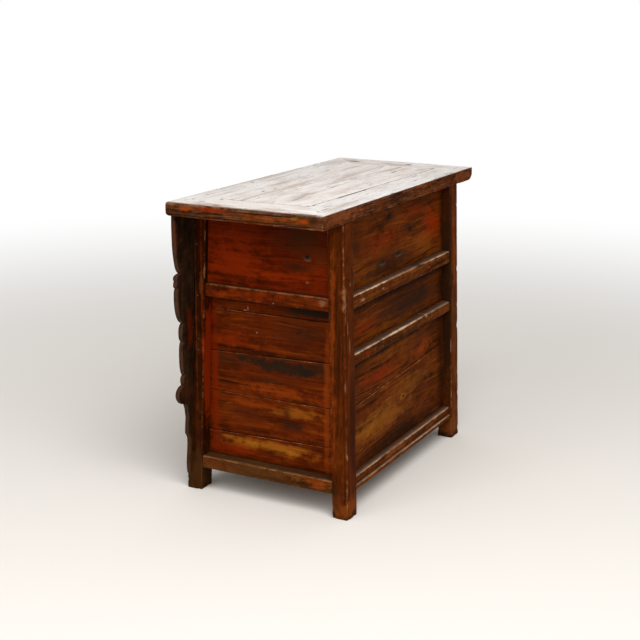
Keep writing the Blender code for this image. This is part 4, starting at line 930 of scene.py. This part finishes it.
def top():
    mitre = END_WIDTH / STILE_WIDTH
    tight = 0.00005
    seam_y = {"front": (HALF_DEPTH - STILE_WIDTH,) * 2, "back": TOP_BACK_SEAM}
    look = {"rough": (0.34, 0.5), "gloss": 0.1, "worn": (0.80, 1.15, 0.75), "bump": 0.3}
    bar = {"step": 0.006, "chip": 0.0016, "end_round": tight, "arc": 4}

    def section(outer, inner, spot):
        corners = ((outer, LEG_HEIGHT), (inner, LEG_HEIGHT), (inner, HEIGHT), (outer, HEIGHT))
        return [Vector((*spot(a), z)) for a, z in corners]

    def member(name, grain, seed, sections, radius, bleach_and_glare):
        shape = Shape()
        add_bar(shape, *sections, radius=radius, seed=seed, **bar)
        material = wood(f"{name}_wood", grain, seed, TOP_EDGE, CHIPPED, MARKS[name], bleach_and_glare=bleach_and_glare, **look)
        finish_piece(moulded(shape), f"worn_{name}", material, "case", [name])

    for e, (end, sy) in enumerate(ENDS.items()):
        sections = [section(HALF_DEPTH, inner, lambda y: (
            sx * (HALF_LENGTH - (HALF_DEPTH - y) * mitre - tight), sy * y))
            for sx, inner in zip((-1, 1), seam_y[end])]
        radius = FRONT_ROUND if sy < 0 else BACK_ROUND
        member(f"top_stile_{end}", "X", 51.0 + e, sections, (radius, 0.0006, 0.0006, radius), PALE_STILE)
    for s, (side, sx) in enumerate(SIDES.items()):
        sections = [section(HALF_LENGTH, HALF_LENGTH - END_WIDTH, lambda x: (
            sx * x, sy * (HALF_DEPTH - (HALF_LENGTH - x) / mitre - tight))) for sy in (-1, 1)]
        member(f"top_end_{side}", "Y", 53.0 + s, sections, (0.003, 0.0006, 0.0006, END_ROUND), PALE_PANEL)
    shape = Shape()
    half_x = HALF_LENGTH - END_WIDTH - tight
    front = tight + STILE_WIDTH - HALF_DEPTH
    planks = ((front, front), *((y, y) for y in TOP_PLANK_SEAMS),
              tuple(y - TOP_BACK_GAP for y in TOP_BACK_SEAM))
    low = HEIGHT - TOP_PANEL_THICKNESS
    for k, (near, far) in enumerate(zip(planks, planks[1:])):
        sections = []
        for sx, y0, y1 in zip((-1, 1), near, far):
            corners = ((y0 + tight, low), (y1 - tight, low), (y1 - tight, HEIGHT), (y0 + tight, HEIGHT))
            sections.append([Vector((sx * half_x, y, z)) for y, z in corners])
        add_bar(shape, *sections, radius=0.0005, step=0.011, chip=0.0004, seed=55.0 + k, end_round=tight, arc=2)
    material = wood("top_panel_wood", "X", 55.0, TOP_EDGE, CHIPPED, MARKS["top_panel"], bleach_and_glare=PALE_PANEL,
                    **look)
    finish_piece(shape, "top_planks", material, "case", ["top_panel"])


def nails():
    """Small iron nails that fix the wings to the front legs."""
    g = Graph(bpy.data.materials.new("nail_iron"))
    rust = g.noise(g.place(), 500.0, 4.0, 0.6).outputs["Fac"]
    g.shade({"Base Color": g.ramp(rust, ((0.35, IRON[0]), (0.7, IRON[1]))), "Metallic": 0.7,
             "Roughness": g.span(rust, 0.3, 0.7, 0.35, 0.6)})
    g.bump(rust, 0.3, 0.0003)
    for side, sx in SIDES.items():
        shape = Shape()
        for z in NAIL_LEVELS:
            centre = Vector((sx * (case_x(z) - NAIL_SINK), NAIL_Y, z))
            rings = [[centre + Vector((sx * out, radius * math.cos(t), radius * math.sin(t)))
                      for t in circle(14)] for out, radius in NAIL_PROFILE]
            shape.add_rings(rings, [0.0] * len(rings))
        finish_piece(shape, f"leg_nails_{side}", g.owner, "case", [], 60)


# Drawers, doors and their pulls.
DRAWER_LOW, DRAWER_HIGH = 0.6036, 0.7716
DRAWER_INNER = 0.0195
DRAWER_CLEARANCE = 0.0015
DRAWER_FRONT = (0.004, 0.024)
DRAWER_BOARD = 0.012
DRAWER_BACK_GAP = 0.010
DRAWER_SIDE_TOP = DRAWER_HIGH - 0.012
DRAWER_BOTTOM = (0.6116, 0.6196)
DOOR_LEVELS = (0.105, 0.5635)
DOOR_FACES = (0.006, 0.028)
DOOR_MEETING = 0.001
DOOR_CLEARANCE = 0.001
DOOR_PULL = (0.046, 0.360)
PIN_RADIUS, PIN_ROOT = 0.006, 0.001
DOOR_BORDER, DOOR_BEVEL, DOOR_SUNK = 0.055, 0.014, 0.005


def bare_wood(axis, seed):
    return wood(f"bare_wood_{axis}_{int(seed)}", axis, seed, BARE, BARE[1], rough=(0.6, 0.8), patches=0.35,
                bump=0.45, mottle=0.25)


def drawers():
    outer = case_x(DRAWER_HIGH) - LEG_WIDTH - DRAWER_CLEARANCE
    back = case_y(DRAWER_HIGH) - LEG_DEPTH - DRAWER_BACK_GAP
    face, rear = DRAWER_FRONT
    board = {"radius": 0.0012, "step": 0.01, "chip": 0.0006, "arc": 2}
    for s, (side, sx) in enumerate(SIDES.items()):
        body = f"drawer_{side}"
        seed = 60.0 + 5 * s

        def spot(x, b, z):
            return Vector((sx * x, b - case_y(z), z))

        corners = ((face, DRAWER_LOW), (rear, DRAWER_LOW), (rear, DRAWER_HIGH), (face, DRAWER_HIGH))
        material = wood(f"{body}_front_wood", "X", seed, AMBER_RED, RUBBED, worn=(0.88, 1.25, 0.75))
        worn_bar(f"{body}_front", material, body, "wood_frame",
                 ([spot(DRAWER_INNER, b, z) for b, z in corners],
                  [spot(case_x(z) - LEG_WIDTH - DRAWER_CLEARANCE, b, z) for b, z in corners]),
                 radius=(0.003, 0.001, 0.001, 0.003), seed=seed, wave=0.0005)
        spans = {"inner_side": (DRAWER_INNER, DRAWER_INNER + DRAWER_BOARD),
                 "outer_side": (outer - DRAWER_BOARD, outer)}
        for k, (part, (x0, x1)) in enumerate(spans.items(), 1):
            corners = ((x0, DRAWER_LOW), (x1, DRAWER_LOW), (x1, DRAWER_SIDE_TOP), (x0, DRAWER_SIDE_TOP))
            worn_bar(f"{body}_{part}", bare_wood("Y", seed + k), body, "wood_inside",
                     ([spot(x, rear + GAP, z) for x, z in corners],
                      [Vector((sx * x, back, z)) for x, z in corners]), seed=seed + k, **board)
        ends = DRAWER_INNER + DRAWER_BOARD + GAP, outer - DRAWER_BOARD - GAP
        back_face = back - DRAWER_BOARD
        low, high = DRAWER_BOTTOM
        outlines = {"back": ((back_face, DRAWER_LOW), (back, DRAWER_LOW), (back, DRAWER_SIDE_TOP),
                             (back_face, DRAWER_SIDE_TOP)),
                    "bottom": ((rear + GAP - case_y(low), low), (back_face - GAP, low), (back_face - GAP, high),
                               (rear + GAP - case_y(high), high))}
        for k, (part, corners) in enumerate(outlines.items(), 3):
            worn_bar(f"{body}_{part}", bare_wood("X", seed + k), body, "wood_inside",
                     [[Vector((sx * x, y, z)) for y, z in corners] for x in ends], seed=seed + k, **board)


def doors():
    face, rear = DOOR_FACES
    low, high = DOOR_LEVELS
    half = (rear - face) / 2
    rounding = half - 0.0002

    def edge(z):
        return case_x(z) - LEG_WIDTH - DOOR_CLEARANCE

    def sunk(u, v, along):
        if v > 1e-6:
            return 0.0, 0.0
        clear = min(u, edge(low) - DOOR_MEETING - half - u, along, high - low - along) - DOOR_BORDER
        share = min(max(clear / DOOR_BEVEL, 0.0), 1.0)
        return DOOR_SUNK * share * share * (3 - 2 * share), 0.85 * max(0.0, 1 - abs(clear - 0.001) / 0.004)

    for s, (side, sx) in enumerate(SIDES.items()):
        sections = [[Vector((sx * x, b - case_y(z), z)) for x, b in
                     ((DOOR_MEETING, face), (edge(z), face), (edge(z), rear), (DOOR_MEETING, rear))]
                    for z in (low, high)]
        shape = Shape()
        add_bar(shape, *sections, radius=(0.002, rounding, rounding, 0.002), step=0.0045, seed=71.0 + s,
                wave=0.0006, arc=6, relief=sunk)
        for levels in ((BOTTOM_RAIL[1] + GAP, low + PIN_ROOT), (high - PIN_ROOT, MID_RAIL[0] - GAP)):
            shape.add_rings([[inside(sx, LEG_WIDTH + DOOR_CLEARANCE + half, -1, face + half, z)
                              + Vector((PIN_RADIUS * math.cos(t), PIN_RADIUS * math.sin(t), 0.0))
                              for t in circle(20)] for z in levels], [0.3, 0.3])
        material = wood(f"door_{side}_wood", "Z", 71.0 + s, RED, RUBBED, worn=(0.86, 1.2, 0.75),
                        line=(BLACK, 0.6))
        finish_piece(shape, f"worn_door_{side}", material, f"door_{side}", [f"door_{side}_board"])


PLATE_RADIUS = 0.030
PLATE_RISE = 0.006
PLATE_TOP = 0.0019
PLATE_LOBE = 0.0009
# Share of the plate's radius and height, from its rim inwards over the engraved ring.
PLATE_PROFILE = ((1.0, GAP), (1.0, 0.0011), (0.985, 0.0016), (0.96, PLATE_TOP), (0.87, PLATE_TOP),
                 (0.85, PLATE_TOP - 0.0005), (0.83, PLATE_TOP - 0.0005), (0.81, PLATE_TOP),
                 (0.5, PLATE_TOP + 0.0003), (0.12, PLATE_TOP + 0.0005))
EYE_SPREAD = 0.018
EYE_HEIGHT = 0.0055
EYE_RADIUS, EYE_THICKNESS, EYE_HALF_WIDTH = 0.0037, 0.0012, 0.0025
# Radius and height of the foot under an eye.
EYE_FOOT = ((0.0042, PLATE_TOP - 0.0004), (0.0038, PLATE_TOP + 0.0008), (0.0024, PLATE_TOP + 0.0020))
BAIL_DROP = 0.028
BAIL_SHOULDER = 0.006
BAIL_WIRE, BAIL_SWELL = 0.0020, 0.0007


def pull_frame(x, z, setback):
    """Axes on the splayed front: X across, Y up the face, Z out of it."""
    up = Vector((0.0, CASE_HALF_DEPTH[0] - CASE_HALF_DEPTH[1], LEG_HEIGHT)).normalized()
    across = Vector((1.0, 0.0, 0.0))
    turned = Matrix((across, up, across.cross(up))).transposed().to_4x4()
    turned.translation = Vector((x, setback - case_y(z), z))
    return turned


def pull_plate(at):
    """A lobed plate with a raised rim, an engraved ring and two eyes for the bail."""
    shape = Shape()
    rings = []
    for share, height in PLATE_PROFILE:
        ring = []
        for angle in circle(96):
            radius = share * (PLATE_RADIUS - PLATE_LOBE * (1 - math.cos(8 * angle)))
            ring.append(at @ Vector((radius * math.cos(angle), radius * math.sin(angle) - PLATE_RISE, height)))
        rings.append(ring)
    shape.add_rings(rings, [0.0] * len(rings))
    turns, around_wire = 24, 10
    for sx in (-1, 1):
        centre = Vector((sx * EYE_SPREAD, 0.0, PLATE_TOP + EYE_HEIGHT))
        for n in range(turns):
            base = len(shape.points)
            for turn in (n, n + 1):
                around = 2 * math.pi * turn / turns
                out = Vector((0.0, math.cos(around), math.sin(around)))
                shape.points.extend(at @ (centre + out * (EYE_RADIUS + EYE_THICKNESS * math.cos(t))
                                          + Vector((EYE_HALF_WIDTH * math.sin(t), 0.0, 0.0)))
                                    for t in circle(around_wire))
            shape.wear.extend([0.0] * 2 * around_wire)
            for i in range(around_wire):
                j = (i + 1) % around_wire
                shape.faces.append((base + i, base + j, base + around_wire + j, base + around_wire + i))
        shape.add_rings([[at @ Vector((centre.x + r * math.cos(t), r * math.sin(t), h)) for t in circle(16)]
                         for r, h in EYE_FOOT], [0.0] * len(EYE_FOOT))
    return shape


def pull_bail(at):
    """A drop handle, thicker at its middle, whose ends turn out into the eyes."""
    reach = EYE_SPREAD - 0.0025 - BAIL_SHOULDER
    path = [(-EYE_SPREAD - 0.0032, 0.0, 0.0016), (-EYE_SPREAD - 0.0028, 0.0, BAIL_WIRE),
            (-reach - 0.004, 0.0, BAIL_WIRE), (-reach - 0.002, -0.0006, BAIL_WIRE),
            (-reach - 0.0006, -0.0024, BAIL_WIRE)]
    ends = [(-x, y, r) for x, y, r in reversed(path)]
    steps = 40
    for i in range(steps + 1):
        angle = math.pi * i / steps
        path.append((-reach * math.cos(angle), -BAIL_SHOULDER - (BAIL_DROP - BAIL_SHOULDER) * math.sin(angle),
                     BAIL_WIRE + BAIL_SWELL * math.sin(angle) ** 3))
    path += ends
    rings = []
    for i, (x, y, radius) in enumerate(path):
        after, before = path[min(i + 1, len(path) - 1)], path[max(i - 1, 0)]
        across = Vector((before[1] - after[1], after[0] - before[0], 0.0)).normalized()
        centre = Vector((x, y, PLATE_TOP + EYE_HEIGHT))
        rings.append([at @ (centre + radius * (across * math.cos(t) + Vector((0, 0, 1)) * math.sin(t)))
                      for t in circle(14)])
    shape = Shape()
    shape.add_rings(rings, [0.0] * len(rings))
    return shape


def pulls():
    metal = brass("aged_brass")
    outer = case_x(DRAWER_HIGH) - LEG_WIDTH - DRAWER_CLEARANCE
    middle = (DRAWER_LOW + DRAWER_HIGH) / 2
    for side, sx in SIDES.items():
        places = {f"drawer_{side}": (sx * (DRAWER_INNER + outer) / 2, middle + PLATE_RISE, DRAWER_FRONT[0]),
                  f"door_{side}": (sx * DOOR_PULL[0], DOOR_PULL[1], DOOR_FACES[0])}
        for owner, place in places.items():
            at = pull_frame(*place)
            finish_piece(pull_plate(at), f"{owner}_plate", metal, owner, [f"{owner}_pull_plate"])
            finish_piece(pull_bail(at), f"{owner}_drop", metal, f"{owner}_bail", [f"{owner}_pull_bail"],
                         60)


def carried_over():
    """Solids inside the case keep their shape and get bare wood of their own grain."""
    bare = {axis: bare_wood(axis, 90.0 + k) for k, axis in enumerate("XY")}
    along_y = ("runner", "bearer", "batten")
    for name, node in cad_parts.items():
        if not node.hide_render:
            node.data.materials.clear()
            node.data.materials.append(bare["Y" if any(word in name for word in along_y) else "X"])


# Floor, light and camera.
FLOOR_HALF = 40.0
FLOOR_FADE = (0.9, 4.5)
WORLD_STRENGTH = (0.5, 1.0)
LAMPS = (("key_lamp", (1.6, 1.6, 3.2), 2.4, 95.0), ("fill_lamp", (3.4, -0.8, 2.2), 2.0, 35.0))
LAMP_AIM = Vector((0, 0, 0.45))
# Yaw, pitch and roll in degrees.
CAMERA_TURN = (207.77, -14.82, 0.18)
CAMERA_PLACE = (3.2183, 1.6568, 1.3906)
CAMERA_LENS, CAMERA_SENSOR = 71.55, 36.0


def stage():
    """A pale floor that fades into a white ground, soft studio light and the photograph's camera."""
    link = bpy.context.scene.collection.objects.link
    mesh = bpy.data.meshes.new("floor")
    corners = [(FLOOR_HALF * x, FLOOR_HALF * y, 0) for x, y in ((-1, -1), (1, -1), (1, 1), (-1, 1))]
    mesh.from_pydata(corners, [], [(0, 1, 2, 3)])
    g = Graph(bpy.data.materials.new("pale_floor"))
    g.shade({"Base Color": FLOOR_COLOUR, "Roughness": 0.9, "Specular IOR Level": 0.1})
    away = g.span(g.length(g.place()), *FLOOR_FADE)
    glow = g.node("ShaderNodeEmission", WHITE, 1.0).outputs[0]
    seen = g.node("ShaderNodeLightPath").outputs["Is Camera Ray"]
    blend = g.node("ShaderNodeMixShader", g.times(away, seen), g.shader.outputs[0], glow)
    g.put(g.tree.nodes["Material Output"].inputs["Surface"], blend.outputs[0])
    mesh.materials.append(g.owner)
    floor = bpy.data.objects.new("floor", mesh)
    link(floor)

    g = Graph(bpy.data.worlds.new("studio"))
    bpy.context.scene.world = g.owner
    path = g.node("ShaderNodeLightPath").outputs
    seen = g.math("MAXIMUM", path["Is Camera Ray"], path["Is Glossy Ray"])
    seen = g.math("MAXIMUM", seen, path["Is Transmission Ray"])
    background = g.tree.nodes["Background"].inputs
    g.put(background["Color"], WHITE)
    g.put(background["Strength"], g.node("ShaderNodeMapRange", seen, None, None, *WORLD_STRENGTH).outputs[0])

    for name, place, size, energy in LAMPS:
        data = bpy.data.lights.new(name, "AREA")
        data.size = size
        data.energy = energy
        lamp = bpy.data.objects.new(name, data)
        lamp.location = place
        lamp.rotation_euler = (LAMP_AIM - Vector(place)).to_track_quat("-Z", "Y").to_euler()
        link(lamp)

    yaw, pitch, roll = (math.radians(v) for v in CAMERA_TURN)
    ahead = Vector((math.cos(pitch) * math.cos(yaw), math.cos(pitch) * math.sin(yaw), math.sin(pitch)))
    right = ahead.cross(Vector((0, 0, 1))).normalized()
    above = right.cross(ahead)
    turned_right = right * math.cos(roll) + above * math.sin(roll)
    turned_above = above * math.cos(roll) - right * math.sin(roll)
    data = bpy.data.cameras.new("camera")
    data.sensor_width = CAMERA_SENSOR
    data.lens = CAMERA_LENS
    camera = bpy.data.objects.new("camera", data)
    turn = Matrix((turned_right, turned_above, -ahead)).transposed().to_4x4()
    camera.matrix_world = Matrix.Translation(CAMERA_PLACE) @ turn
    link(camera)
    bpy.context.scene.camera = camera
    bpy.context.scene.view_settings.view_transform = "Standard"


stage()
legs()
rails()
panels()
wings()
top()
nails()
drawers()
doors()
pulls()
carried_over()
